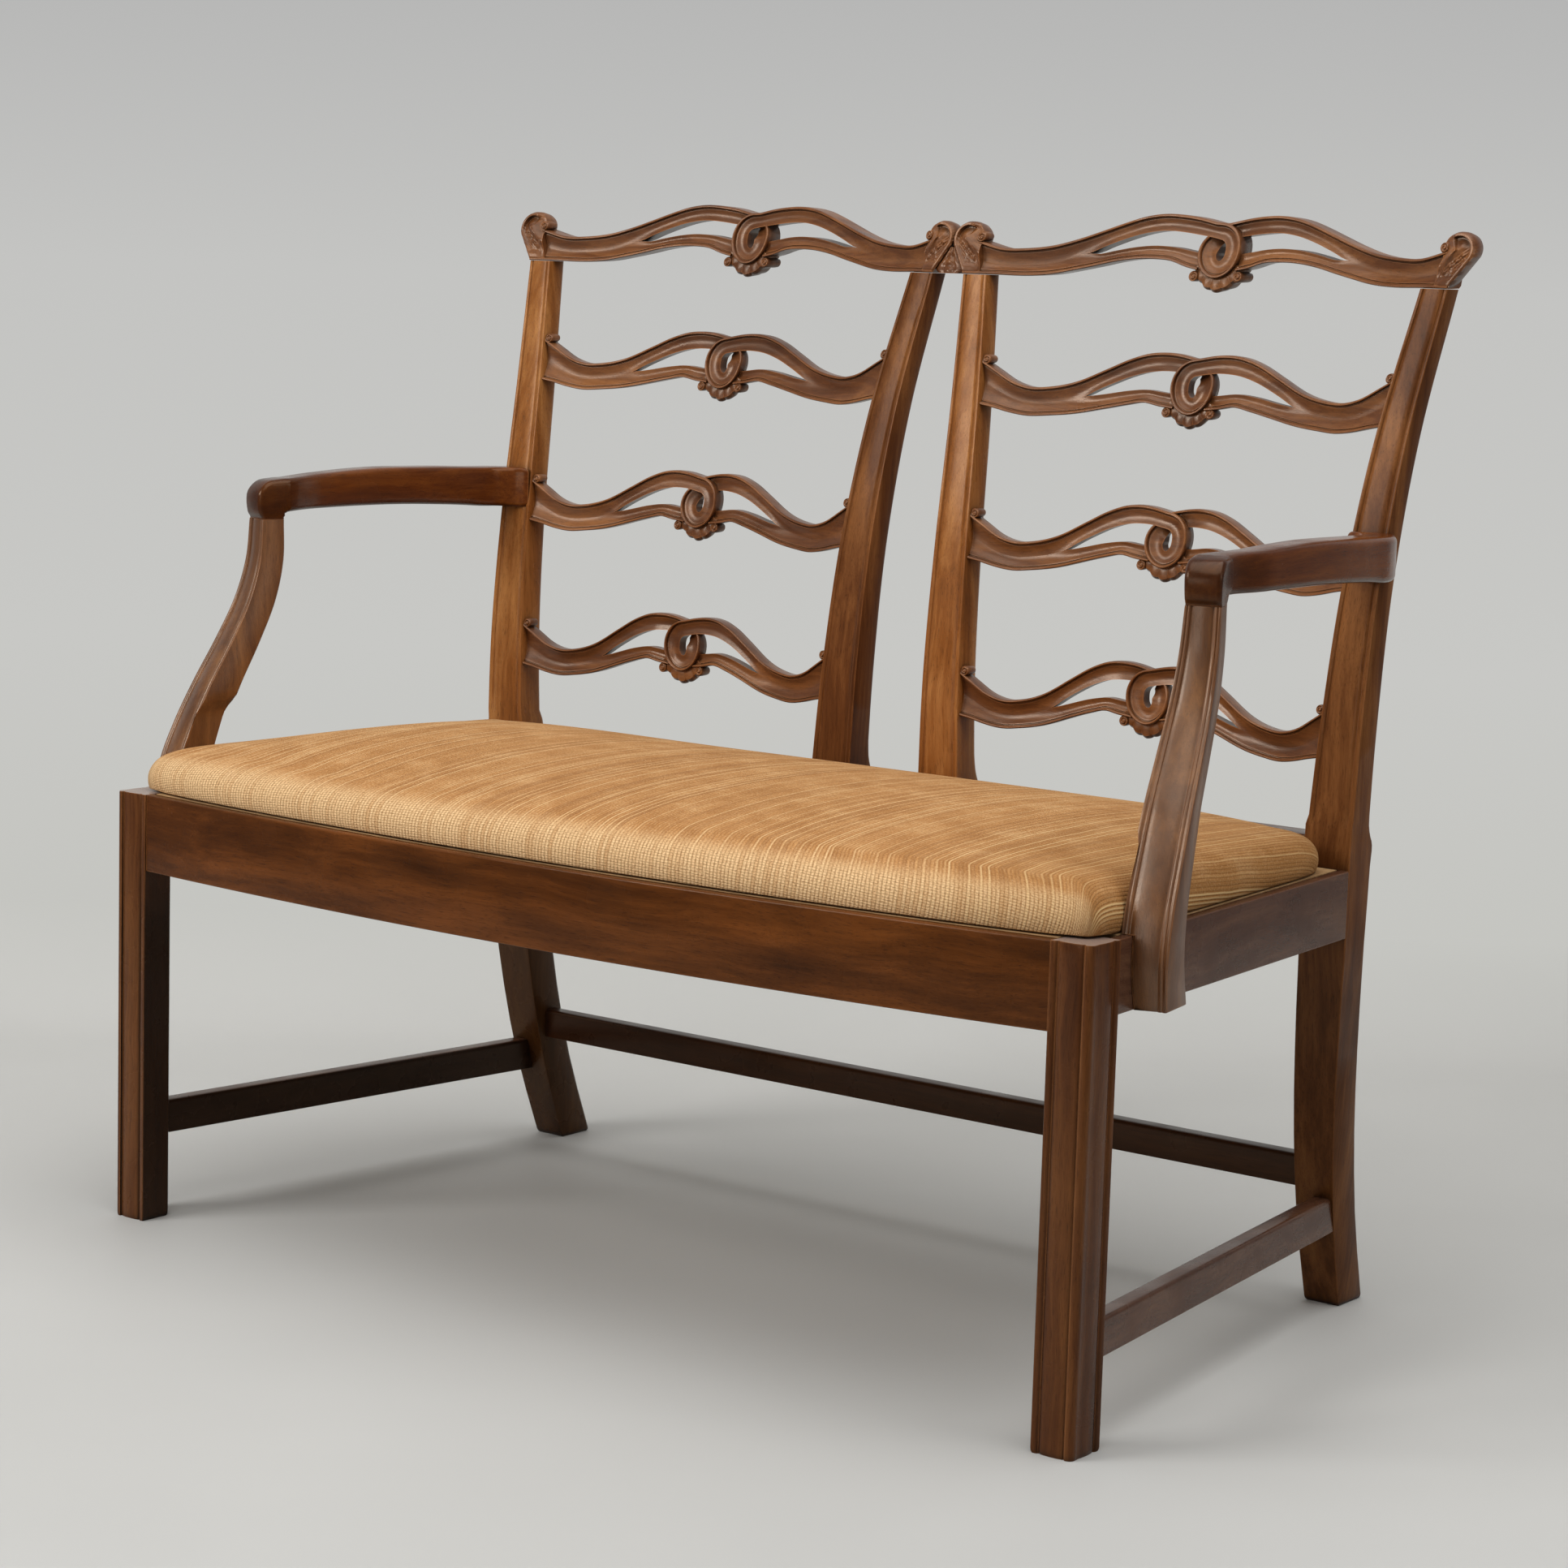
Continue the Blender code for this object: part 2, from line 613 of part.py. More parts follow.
def post_ring(centre, front, width, depth, back_round, flute, height, grow=0.0):
    """A post's section at one height: beaded edges, a shallow fluted front and a rounded back."""
    half = width / 2 + grow
    near = front - grow
    far = front + depth + grow
    across = ((-1.0, 0.0), (-0.72, 0.0), (-0.6, flute), (0.0, 0.0), (0.6, flute), (0.72, 0.0), (1.0, 0.0))
    ring = [(centre + half * share, near + cut_depth) for share, cut_depth in across]
    ring += [(centre + half, far - back_round), (centre + half - back_round, far),
             (centre - half + back_round, far), (centre - half, far - back_round)]
    return [Vector((x, y, height)) for x, y in ring]


def shoulder_top():
    """Where the bump at the back of the rear leg has died away into the upright."""
    return SEAT_HEIGHT + REAR_SHOULDER_RISE + REAR_SHOULDER_LENGTH


def post_rings(side, lowest, grow=0.0):
    """Sections of a post above the seat; side is 1 for the outer post of the right chair, -1 inner."""
    rings = []
    for step in range(POST_STATIONS):
        height = blend(lowest, post_top_height(), step / (POST_STATIONS - 1))
        centre = CHAIR_CENTRE + side * post_half_spacing(height)
        flute = 0.0 if grow else POST_FLUTE_DEPTH
        rings.append(post_ring(centre, post_front(height), post_width(height), post_depth(height),
                               POST_BACK_ROUND, flute, height, grow))
    return rings


def rear_leg_rings():
    """Sections of the swept and canted rear leg, from the floor to the shoulder above the seat."""
    rings = []
    for step in range(REAR_LEG_STATIONS):
        height = (SEAT_HEIGHT - REAR_RAIL_HEIGHT) * step / (REAR_LEG_STATIONS - 1)
        width = rear_leg_width(height)
        rings.append(post_ring(rear_leg_outer(height) - width / 2, rear_leg_front(height), width,
                               rear_leg_depth(height), REAR_LEG_CHAMFER, 0.0, height))
    shoulder = SEAT_HEIGHT + REAR_SHOULDER_RISE
    for height, depth in ((SEAT_HEIGHT, blend(REAR_LEG_DEPTH, REAR_SHOULDER_DEPTH, 0.7)),
                          (shoulder, REAR_SHOULDER_DEPTH)):
        rings.append(post_ring(CHAIR_CENTRE + POST_SPACING, SEAT_DEPTH, POST_WIDTH, depth,
                               REAR_LEG_CHAMFER, 0.0, height))
    return rings


def crest_tenon(side, clearance):
    """A post's tenon up into the crest rail, or with clearance its mortise."""
    height = post_top_height()
    centre = Vector((CHAIR_CENTRE + side * post_half_spacing(height),
                     post_front(height) + post_depth(height) / 2, height))
    half = Vector((CREST_TENON_WIDTH / 2 + clearance, CREST_TENON_THICKNESS / 2 + clearance, 0.0))
    tall = Vector((0.0, 0.0, CREST_TENON_LENGTH + (TENON_END_GAP if clearance else 0.0)))
    over = Vector((0.0, 0.0, CUT_OVERRUN))
    return block(centre - half - over, centre + half + tall)


def outer_post(cutters):
    """The right chair's outer post with its rear leg, mortised for all that joins it."""
    post = joined(loft(rear_leg_rings() + post_rings(1, shoulder_top())), crest_tenon(1, 0.0))
    return cut(post, *cutters)


def inner_post(cutters):
    """The right chair's inner post, which stands on the rear rail."""
    lowest = SEAT_HEIGHT + REAR_RAIL_RISE + FIT_GAP
    post = joined(loft(post_rings(-1, lowest)), crest_tenon(-1, 0.0), inner_post_tenon(0.0))
    return cut(post, *cutters)


# Stretchers

def eased_bar_ring(middle, half_thickness, level, half_height, easing):
    """A bar's section with eased top edges, as pairs across and up."""
    return ((middle - half_thickness, level - half_height),
            (middle - half_thickness, level + half_height - easing),
            (middle - half_thickness + easing, level + half_height),
            (middle + half_thickness - easing, level + half_height),
            (middle + half_thickness, level + half_height - easing),
            (middle + half_thickness, level - half_height))


def side_stretcher_middle(y, front, rear):
    """Centre line of a side stretcher, flush with the outer faces of both legs."""
    front_outer = FRONT_HALF_WIDTH - SIDE_STRETCHER_INSET
    rear_outer = rear_leg_outer(SIDE_STRETCHER_LEVEL) - SIDE_STRETCHER_INSET
    return blend(front_outer, rear_outer, (y - front) / (rear - front)) - STRETCHER_THICKNESS / 2


def stretcher_tenon(centre, along, height, clearance):
    """A stretcher's tenon at a shoulder, reaching into the leg along one direction."""
    half_height = height / 2 - STRETCHER_TENON_SHOULDER + clearance
    half_thickness = STRETCHER_TENON_THICKNESS / 2 + clearance
    reach = STRETCHER_TENON_LENGTH + (TENON_END_GAP if clearance else 0.0)
    start = centre - along * CUT_OVERRUN
    end = centre + along * reach
    across = Vector((abs(along.y), abs(along.x), 0.0)) * half_thickness + Vector((0.0, 0.0, half_height))
    low = Vector(min(a, b) for a, b in zip(start, end)) - across
    high = Vector(max(a, b) for a, b in zip(start, end)) + across
    return block(low, high)


def side_stretcher_tenon(clearance, at_rear):
    front, rear = FRONT_LEG_DEPTH, rear_leg_front(SIDE_STRETCHER_LEVEL)
    y = rear if at_rear else front
    centre = Vector((side_stretcher_middle(y, front, rear), y, SIDE_STRETCHER_LEVEL))
    along = Vector((0.0, 1.0 if at_rear else -1.0, 0.0))
    return stretcher_tenon(centre, along, SIDE_STRETCHER_HEIGHT, clearance)


def side_stretcher():
    """A right-hand side stretcher; its rear end follows the slope of the swept leg."""
    front = FRONT_LEG_DEPTH
    rear = rear_leg_front(SIDE_STRETCHER_LEVEL)
    middle_front = side_stretcher_middle(front, front, rear)
    middle_rear = side_stretcher_middle(rear, front, rear)
    half = STRETCHER_THICKNESS / 2
    rings = []
    for middle, at_rear in ((middle_front, False), (middle_rear, True)):
        section = eased_bar_ring(middle, half, SIDE_STRETCHER_LEVEL, SIDE_STRETCHER_HEIGHT / 2,
                                 STRETCHER_EASING)
        ring = []
        for x, z in section:
            y = rear_leg_front(z) - FIT_GAP if at_rear else front + FIT_GAP
            ring.append(Vector((x, y, z)))
        rings.append(ring)
    return joined(loft(rings), side_stretcher_tenon(0.0, False), side_stretcher_tenon(0.0, True))


def rear_stretcher_shoulder(height):
    """The inner face of the right rear leg, where the rear stretcher stops."""
    return rear_leg_outer(height) - rear_leg_width(height)


def rear_stretcher_middle():
    return rear_leg_front(REAR_STRETCHER_LEVEL) + rear_leg_depth(REAR_STRETCHER_LEVEL) / 2


def rear_stretcher_tenon(clearance):
    x = rear_stretcher_shoulder(REAR_STRETCHER_LEVEL)
    centre = Vector((x, rear_stretcher_middle(), REAR_STRETCHER_LEVEL))
    return stretcher_tenon(centre, Vector((1.0, 0.0, 0.0)), REAR_STRETCHER_HEIGHT, clearance)


def rear_stretcher():
    """The rear stretcher between the two swept legs."""
    section = eased_bar_ring(rear_stretcher_middle(), STRETCHER_THICKNESS / 2, REAR_STRETCHER_LEVEL,
                             REAR_STRETCHER_HEIGHT / 2, STRETCHER_EASING)
    rings = []
    for side in (-1, 1):
        rings.append([Vector((side * (rear_stretcher_shoulder(z) - FIT_GAP), y, z)) for y, z in section])
    tenon = rear_stretcher_tenon(0.0)
    return joined(loft(rings), tenon, mirrored(tenon))


# Ribbon rails of the backs

def ribbon_ring(along, top, bottom, style, bead_on_top):
    """A ribbon's section: a raised bead along one edge of a dished band, narrower at the back."""
    bead, relief, chamfer, thickness, recess = style
    edge, other = (top, bottom) if bead_on_top else (bottom, top)
    inward = -1 if bead_on_top else 1
    ring = ((edge, recess - relief), (edge + inward * bead, recess - relief),
            (edge + inward * bead * 1.3, recess + relief / 2), (other, recess),
            (other - inward * chamfer, thickness), (edge + inward * chamfer, thickness))
    return [Vector((along, depth, height)) for height, depth in ring]


def ribbon(table, half_length, rise, droop, side, style, bead_on_top):
    """One ribbon of a rail as a loft along its table of shares, on the left or the right."""
    rings = []
    for along, top, bottom in table:
        fall = droop * smooth(DROOP_SHARES, along)
        rings.append(ribbon_ring(side * along * half_length, top * rise - fall, bottom * rise - fall,
                                 style, bead_on_top))
    return loft(rings)


def loop_ring(radius, eye_radius, rise, bead, relief, chamfer, thickness, steps=18):
    """The round loop where the ribbons cross, with its bead on the outer edge."""
    rings = []
    for step in range(steps):
        angle = 2 * pi * step / steps
        out = Vector((cos(angle), 0.0, sin(angle)))
        section = ((radius, -relief), (radius - bead, -relief), (radius - bead * 1.3, relief / 2),
                   (eye_radius, 0.0), (eye_radius + chamfer, thickness), (radius - chamfer, thickness))
        centre = Vector((0.0, 0.0, rise))
        rings.append([centre + out * reach + Vector((0.0, depth, 0.0)) for reach, depth in section])
    return loft(rings, closed=True)


def shell(radius, rise, thickness, recess):
    """The shell between two small scrolls under a loop."""
    right = [(x * radius, z * radius + rise) for x, z in SHELL_SHARES]
    left = [(-x, z) for x, z in reversed(right[1:])]
    mesh = upright(plate([right + left], thickness))
    return moved(mesh, Matrix.Translation((0.0, thickness / 2 + recess, 0.0)))


def ribbon_styles(bead, relief, chamfer, thickness):
    """Sections for the ribbon that lies on top at a crossing, for the one below it and for the band."""
    return [(bead, relief, chamfer, thickness - relief * rise, relief * recess)
            for rise, recess in ((0.25, 0.25), (0.5, 1.0), (0.75, 0.75))]


def flat_ladder_rail(half_length, droop, over):
    """A ladder rail drawn flat: along x from its loop, y through its thickness, z up."""
    top_style, under_style, band_style = ribbon_styles(LADDER_BEAD, LADDER_RELIEF, LADDER_BACK_CHAMFER,
                                                       LADDER_THICKNESS)
    rail = loop_ring(LADDER_LOOP_RADIUS, LADDER_EYE_RADIUS, LADDER_LOOP_RISE, LADDER_BEAD, LADDER_RELIEF,
                     LADDER_BACK_CHAMFER, LADDER_THICKNESS)
    others = []
    for side in (-1, 1):
        arch_style = top_style if side == over else under_style
        others.append(ribbon(LADDER_ARCH_SHARES, half_length, LADDER_RISE, droop, side, arch_style, True))
        others.append(ribbon(LADDER_BAND_SHARES, half_length, LADDER_RISE, droop, side, band_style, False))
    others.append(shell(LADDER_LOOP_RADIUS, LADDER_LOOP_RISE, LADDER_THICKNESS - LADDER_RELIEF, 0.0))
    return joined(rail, *others)


def ladder_half_length(height):
    """Half the distance between the inner faces of a chair's two posts, less the fit."""
    return post_half_spacing(height) - post_width(height) / 2 - FIT_GAP


def ladder_place(level, sag, chair):
    """Maps the flat rail into the back: it ends on the splayed posts, leans with them and sags back."""
    nominal = ladder_half_length(level)

    def place(point):
        height = level + point.z
        share = point.x / nominal
        hollow = sag * (1 - min(share * share, 1.0))
        return Vector((chair * CHAIR_CENTRE + share * ladder_half_length(height),
                       post_front(height) + LADDER_SETBACK + hollow + point.y, height))
    return place


def flat_ladder_tenon(level, droop, side, clearance):
    """A ladder rail's end tenon in the flat drawing, or with clearance its mortise."""
    nominal = ladder_half_length(level)
    middle_z = -droop - LADDER_RISE * 0.15
    middle_y = LADDER_THICKNESS / 2
    inner = side * (nominal - CUT_OVERRUN)
    outer = side * (nominal + LADDER_TENON_LENGTH + (TENON_END_GAP if clearance else 0.0))
    half_height = LADDER_TENON_HEIGHT / 2 + clearance
    half_thickness = LADDER_TENON_THICKNESS / 2 + clearance
    return block((min(inner, outer), middle_y - half_thickness, middle_z - half_height),
                 (max(inner, outer), middle_y + half_thickness, middle_z + half_height))


def ladder_rail(row, chair):
    """One ladder rail in its place; the ribbon that lies on top changes sides from row to row."""
    _, level, sag, droop, over = row
    flat = flat_ladder_rail(ladder_half_length(level), droop, over)
    tenons = [flat_ladder_tenon(level, droop, side, 0.0) for side in (-1, 1)]
    return mapped(joined(flat, *tenons), ladder_place(level, sag, chair))


def ladder_mortises(side):
    """The mortises for all three ladder rails in one post of the right chair, past where they sag."""
    cutters = []
    for _, level, _, droop, _ in LADDER_ROWS:
        flat = flat_ladder_tenon(level, droop, side, FIT_GAP)
        cutters.append(mapped(flat, ladder_place(level, 0.0, 1)))
    return cutters


def loop_height(share):
    """The level of a ladder rail's loop at a share of the way from the seat to the crest's loop."""
    return blend(SEAT_HEIGHT, CREST_LOOP_HEIGHT, share)


LADDER_ROWS = (("lower", loop_height(LOWER_LOOP_SHARE), LOWER_SAG, LOWER_DROOP, 1),
               ("middle", loop_height(MIDDLE_LOOP_SHARE), MIDDLE_SAG, MIDDLE_DROOP, -1),
               ("upper", loop_height(UPPER_LOOP_SHARE), UPPER_SAG, UPPER_DROOP, 1))


def crest_half_length():
    return post_half_spacing(post_top_height()) + POST_TOP_WIDTH / 2


def crest_ear_reach(inner):
    """How far the middle of an ear stands past the end; the inner ears only just meet each other."""
    if inner:
        return CHAIR_CENTRE - crest_half_length() - CREST_EAR_RADIUS - FIT_GAP
    return CREST_EAR_REACH


def crest_ear(side, inner):
    """A curled ear over the end of a crest: a proud round that draws in to the post's outer edge."""
    half = crest_half_length()
    reach = crest_ear_reach(inner)
    rings = []
    for depth, size in ((-CREST_RELIEF * 1.5, 1.0), (CREST_THICKNESS * 0.85, CREST_EAR_SHARE)):
        outline = [(half - CREST_EAR_RADIUS, -CREST_SEAT_DROP), (half, -CREST_SEAT_DROP)]
        for step in range(13):
            angle = blend(-CREST_EAR_TURN, pi + CREST_EAR_TURN, step / 12)
            outline.append((half + reach + CREST_EAR_RADIUS * size * cos(angle),
                            CREST_EAR_RISE + CREST_EAR_RADIUS * size * sin(angle)))
        rings.append([Vector((side * x, depth, z)) for x, z in outline])
    return loft(rings)


def crest_rail(chair, over):
    """A crest rail: heavier ribbons than the ladder's, ears over the posts, flat seats under them."""
    half = crest_half_length()
    top_style, under_style, band_style = ribbon_styles(CREST_BEAD, CREST_RELIEF, CREST_BACK_CHAMFER,
                                                       CREST_THICKNESS)
    rail = loop_ring(CREST_LOOP_RADIUS, CREST_EYE_RADIUS, CREST_LOOP_RISE, CREST_BEAD, CREST_RELIEF,
                     CREST_BACK_CHAMFER, CREST_THICKNESS)
    others = []
    for side in (-1, 1):
        arch_style = top_style if side == over else under_style
        others.append(ribbon(CREST_ARCH_SHARES, half, CREST_RISE, 0.0, side, arch_style, True))
        others.append(ribbon(CREST_BAND_SHARES, half, CREST_RISE, 0.0, side, band_style, False))
        others.append(crest_ear(side, side == -chair))
    others.append(shell(CREST_LOOP_RADIUS, CREST_LOOP_RISE, CREST_THICKNESS - CREST_RELIEF, 0.0))
    flat = joined(rail, *others)

    def place(point):
        height = CREST_LOOP_HEIGHT + point.z
        share = point.x / half
        hollow = CREST_SAG * (1 - min(share * share, 1.0))
        return Vector((chair * CHAIR_CENTRE + point.x, post_front(height) + hollow + point.y, height))
    mortises = [crest_tenon(side, FIT_GAP) for side in (-1, 1)]
    if chair < 0:
        mortises = [mirrored(mortise) for mortise in mortises]
    return cut(mapped(flat, place), *mortises)


def crest_leaf_block():
    """The wedge-shaped block glued between the two crest rails under their inner ears."""
    widest = CHAIR_CENTRE - crest_half_length() - FIT_GAP
    narrowing = crest_ear_reach(True) + CREST_EAR_RADIUS * cos(CREST_EAR_TURN)
    bottom = -CREST_SEAT_DROP
    top = CREST_EAR_RISE - CREST_EAR_RADIUS * sin(CREST_EAR_TURN)
    rings = []
    for climb, fullness in LEAF_BLOCK_SHARES:
        z = CREST_LOOP_HEIGHT + blend(bottom, top, climb)
        half = (widest - narrowing * climb) * fullness
        y = post_front(z)
        ring = ((-half, y + CREST_RELIEF), (0.0, y - CREST_RELIEF), (half, y + CREST_RELIEF),
                (half, y + LEAF_BLOCK_THICKNESS), (-half, y + LEAF_BLOCK_THICKNESS))
        rings.append([Vector((x, depth, z)) for x, depth in ring])
    return loft(rings)


# Arm supports and arms

def support_corners(share):
    """The four corners of the right arm support at a share of its height: front outer first."""
    height = blend(SEAT_HEIGHT - SIDE_RAIL_HEIGHT, ARM_JOINT_HEIGHT - FIT_GAP, share)
    outer = side_rail_face(SUPPORT_SET) + SUPPORT_PROUD - SUPPORT_LEAN * smooth(LEAN_SHARES, share)
    front = SUPPORT_SET + SUPPORT_SWEEP * smooth(SWEEP_SHARES, share)
    turn = blend(SUPPORT_TURN, SUPPORT_TOP_TURN, min(share * 2, 1.0))
    width = blend(SUPPORT_WIDTH, SUPPORT_TOP_WIDTH, smooth(WIDTH_SHARES, share))
    depth = blend(SUPPORT_DEPTH, SUPPORT_TOP_DEPTH, share)
    inward = Vector((-cos(turn), -sin(turn), 0.0)) * width
    back = Vector((-sin(turn), cos(turn), 0.0)) * depth
    front_outer = Vector((outer, front, height))
    return front_outer, front_outer + inward, front_outer + inward + back, front_outer + back


def eased_ring(corners, easing, flute):
    """A four-cornered section with a fluted front and its other corners taken off."""
    front_outer, front_inner, back_inner, back_outer = corners
    across = (front_inner - front_outer).normalized()
    deep = (back_outer - front_outer).normalized()
    width = (front_inner - front_outer).length
    front = [front_outer + across * width * share + deep * flute * cut_share
             for share, cut_share in SUPPORT_FRONT_SHARES]
    back = [back_inner - deep * easing, back_inner - across * easing,
            back_outer + across * easing, back_outer - deep * easing]
    return front + back


def arm_support():
    """The right arm support, lapped over the outside of the side rail and above it beside the seat."""
    rings = []
    for step in range(SUPPORT_STATIONS):
        corners = support_corners(step / (SUPPORT_STATIONS - 1))
        rings.append(eased_ring(corners, SUPPORT_EASING, SUPPORT_FLUTE_DEPTH))
    support = loft(rings)
    return cut(support, rail_lap(SEAT_HEIGHT + FIT_GAP, FIT_GAP), rail_lap(seat_lap_height(), -REBATE_LIP))


def seat_lap_height():
    """How high the support's inner side stays clear of the seat, which lifts out past it."""
    return SEAT_HEIGHT + PAD_EDGE_HEIGHT + SEAT_LIFT


def rail_lap(top, outward):
    """What lies inboard of a side rail's face, moved outward by a distance, up to a height."""
    low = SEAT_HEIGHT - SIDE_RAIL_HEIGHT - CUT_OVERRUN
    rings = []
    for y in (0.0, SEAT_DEPTH):
        outer = side_rail_face(y) + outward
        inner = outer - SIDE_RAIL_THICKNESS * 2
        rings.append([Vector((x, y, z)) for x, z in ((inner, low), (inner, top), (outer, top), (outer, low))])
    return loft(rings)


def arm_level(share):
    """The height of the arm's middle at a share of the way from its knuckle to the post."""
    return ARM_BOTTOM_HEIGHT + ARM_THICKNESS * smooth(ARM_LEVEL_SHARES, share)


def arm_thickness(share):
    return ARM_THICKNESS * smooth(ARM_THICKNESS_SHARES, share)


def arm_centre(share):
    """Middle of the arm, from the knuckle to where it starts to turn in to the post."""
    front = sum(support_corners(1.0), Vector()) / 4
    side = outer_post_side(arm_level(1.0))
    rear_x = side + ARM_LAP_THICKNESS + ARM_FLARE - ARM_WIDTH / 2
    rear_y = post_front(arm_level(1.0)) + ARM_LAP_LENGTH * ARM_LAP_SHARES[0][0]
    bow = ARM_BOW * 4 * share * (1 - share)
    return Vector((blend(front.x, rear_x, share) + bow, blend(front.y, rear_y, share), arm_level(share)))


def outer_post_side(height):
    """The outer side of the right outer post at a height above the seat."""
    return CHAIR_CENTRE + post_half_spacing(height) + post_width(height) / 2


def arm_ring(centre, across, up, half_width, half_height, easing):
    """An arm's section: a rectangle in the plane of two directions, with its corners taken off."""
    ring = []
    for side, level, easing_side, easing_level in (
            (-1, -1, 0, 1), (-1, 1, 0, -1), (-1, 1, 1, 0), (1, 1, -1, 0),
            (1, 1, 0, -1), (1, -1, 0, 1), (1, -1, -1, 0), (-1, -1, 1, 0)):
        ring.append(centre + across * (side * half_width + easing_side * easing)
                    + up * (level * half_height + easing_level * easing))
    return ring


def arm(post_cutter):
    """The right arm: a knuckle that turns down on the support, a bowed rest and a lap round the post."""
    corners = support_corners(1.0)
    across = (corners[0] - corners[1]).normalized()
    forward = (corners[0] - corners[3]).normalized()
    width = (corners[0] - corners[1]).length
    depth = (corners[0] - corners[3]).length
    middle = sum(corners, Vector()) / 4
    pivot = middle - forward * (depth / 2 + ARM_KNUCKLE_RADIUS)
    pivot.z = ARM_BOTTOM_HEIGHT - ARM_KNUCKLE_RADIUS
    foot = middle.copy()
    foot.z = ARM_JOINT_HEIGHT
    rings = [arm_ring(foot, across, forward, width / 2, depth / 2, SUPPORT_EASING)]
    up = Vector((0.0, 0.0, 1.0))
    for share, swell in ARM_TURN_SHARES:
        angle = share * pi / 2
        out = forward * cos(angle) + up * sin(angle)
        size = blend(depth, ARM_KNUCKLE_THICKNESS, share) * swell
        easing = blend(SUPPORT_EASING, ARM_EASING, share)
        centre = pivot + out * (ARM_KNUCKLE_RADIUS + size / 2)
        rings.append(arm_ring(centre, across, out, width / 2, size / 2, easing))
    across_rear = Vector((1.0, 0.0, 0.0))
    for share in ARM_STATION_SHARES:
        turn = across.lerp(across_rear, min(share * 1.5, 1.0)).normalized()
        half = arm_thickness(share) / 2
        rings.append(arm_ring(arm_centre(share), turn, up, ARM_WIDTH / 2, half, ARM_EASING))
    rings += arm_lap_rings(across_rear, up)
    return cut(loft(rings), post_cutter)


def arm_lap_rings(across, up):
    """The arm's last sections: they widen inwards over the post's front and end square outside it."""
    height = arm_level(1.0)
    outer_side = outer_post_side(height)
    rings = []
    for behind, flare_share, over_share in ARM_LAP_SHARES:
        outer = outer_side + ARM_LAP_THICKNESS + ARM_FLARE * flare_share
        inner = outer_side - post_width(height) * over_share
        centre = Vector(((inner + outer) / 2, post_front(height) + ARM_LAP_LENGTH * behind, height))
        half = arm_thickness(1.0) / 2
        rings.append(arm_ring(centre, across, up, (outer - inner) / 2, half, ARM_EASING))
    return rings


# Blocks and bearer under the seat

def polygon_prism(points, low, high):
    mesh = plate([points], high - low)
    return moved(mesh, Matrix.Translation((0.0, 0.0, (low + high) / 2)))


def side_rail_inner(y):
    return side_rail_face(y) - SIDE_RAIL_THICKNESS


def front_rail_inner(x):
    return front_rail_face(x) + FRONT_RAIL_THICKNESS


def front_corner_block():
    """A glued block in the right front corner, notched round the leg."""
    leg_inner = FRONT_HALF_WIDTH - FRONT_LEG_WIDTH - FIT_GAP
    leg_back = FRONT_LEG_DEPTH + FIT_GAP
    start = leg_inner - CORNER_BLOCK_REACH
    end = leg_back + CORNER_BLOCK_REACH
    places = [blend(start, leg_inner, step / 3) for step in range(4)]
    along = [(x, front_rail_inner(x) + FIT_GAP) for x in places]
    corner = [(leg_inner, leg_back), (side_rail_inner(leg_back) - FIT_GAP, leg_back)]
    side = [(side_rail_inner(end) - FIT_GAP, end)]
    high = SEAT_HEIGHT - REBATE_DEPTH - FIT_GAP
    return polygon_prism(along + corner + side, high - CORNER_BLOCK_THICKNESS, high)


def rear_corner_block():
    """A glued block in the right rear corner, against the side rail, the post and the rear rail."""
    post_inner = rear_half_width() - POST_WIDTH
    near_post = SEAT_DEPTH - FIT_GAP
    rear = SEAT_DEPTH + (POST_DEPTH - REAR_RAIL_THICKNESS) / 2 - FIT_GAP
    start = near_post - CORNER_BLOCK_REACH
    outline = [(side_rail_inner(start) - FIT_GAP, start), (side_rail_inner(near_post) - FIT_GAP, near_post),
               (post_inner - FIT_GAP, near_post), (post_inner - FIT_GAP, rear),
               (post_inner - CORNER_BLOCK_REACH, rear)]
    high = SEAT_HEIGHT - REBATE_DEPTH - LEDGE_THICKNESS - FIT_GAP
    low = SEAT_HEIGHT - SIDE_RAIL_HEIGHT
    return polygon_prism(outline, low, high)


def bearer_tenon(at_rear, clearance):
    """The bearer's tenon in the front or the rear rail, or with clearance its mortise."""
    y = SEAT_DEPTH + (POST_DEPTH - REAR_RAIL_THICKNESS) / 2 if at_rear else front_rail_inner(0.0)
    ahead = 1 if at_rear else -1
    low = SEAT_HEIGHT - REBATE_DEPTH - FIT_GAP - BEARER_THICKNESS
    half = BEARER_WIDTH / 2 - RAIL_TENON_SHOULDER + clearance
    reach = RAIL_TENON_THICKNESS + (TENON_END_GAP if clearance else 0.0)
    ends = sorted((y - ahead * CUT_OVERRUN, y + ahead * reach))
    return block((-half, ends[0], low - clearance), (half, ends[1], low + RAIL_TENON_THICKNESS + clearance))


def seat_bearer():
    """The brace from front rail to rear rail that stops the long seat from sagging."""
    front = front_rail_inner(BEARER_WIDTH / 2) + FIT_GAP
    rear = SEAT_DEPTH + (POST_DEPTH - REAR_RAIL_THICKNESS) / 2 - FIT_GAP
    high = SEAT_HEIGHT - REBATE_DEPTH - FIT_GAP
    low = high - BEARER_THICKNESS
    half = BEARER_WIDTH / 2
    notch_rear = rear - LEDGE_WIDTH - FIT_GAP
    bar = block((-half, front, low), (half, rear, high))
    notch = block((-half - CUT_OVERRUN, notch_rear, high - LEDGE_THICKNESS - FIT_GAP),
                  (half + CUT_OVERRUN, rear + CUT_OVERRUN, high + CUT_OVERRUN))
    return joined(cut(bar, notch), bearer_tenon(False, 0.0), bearer_tenon(True, 0.0))


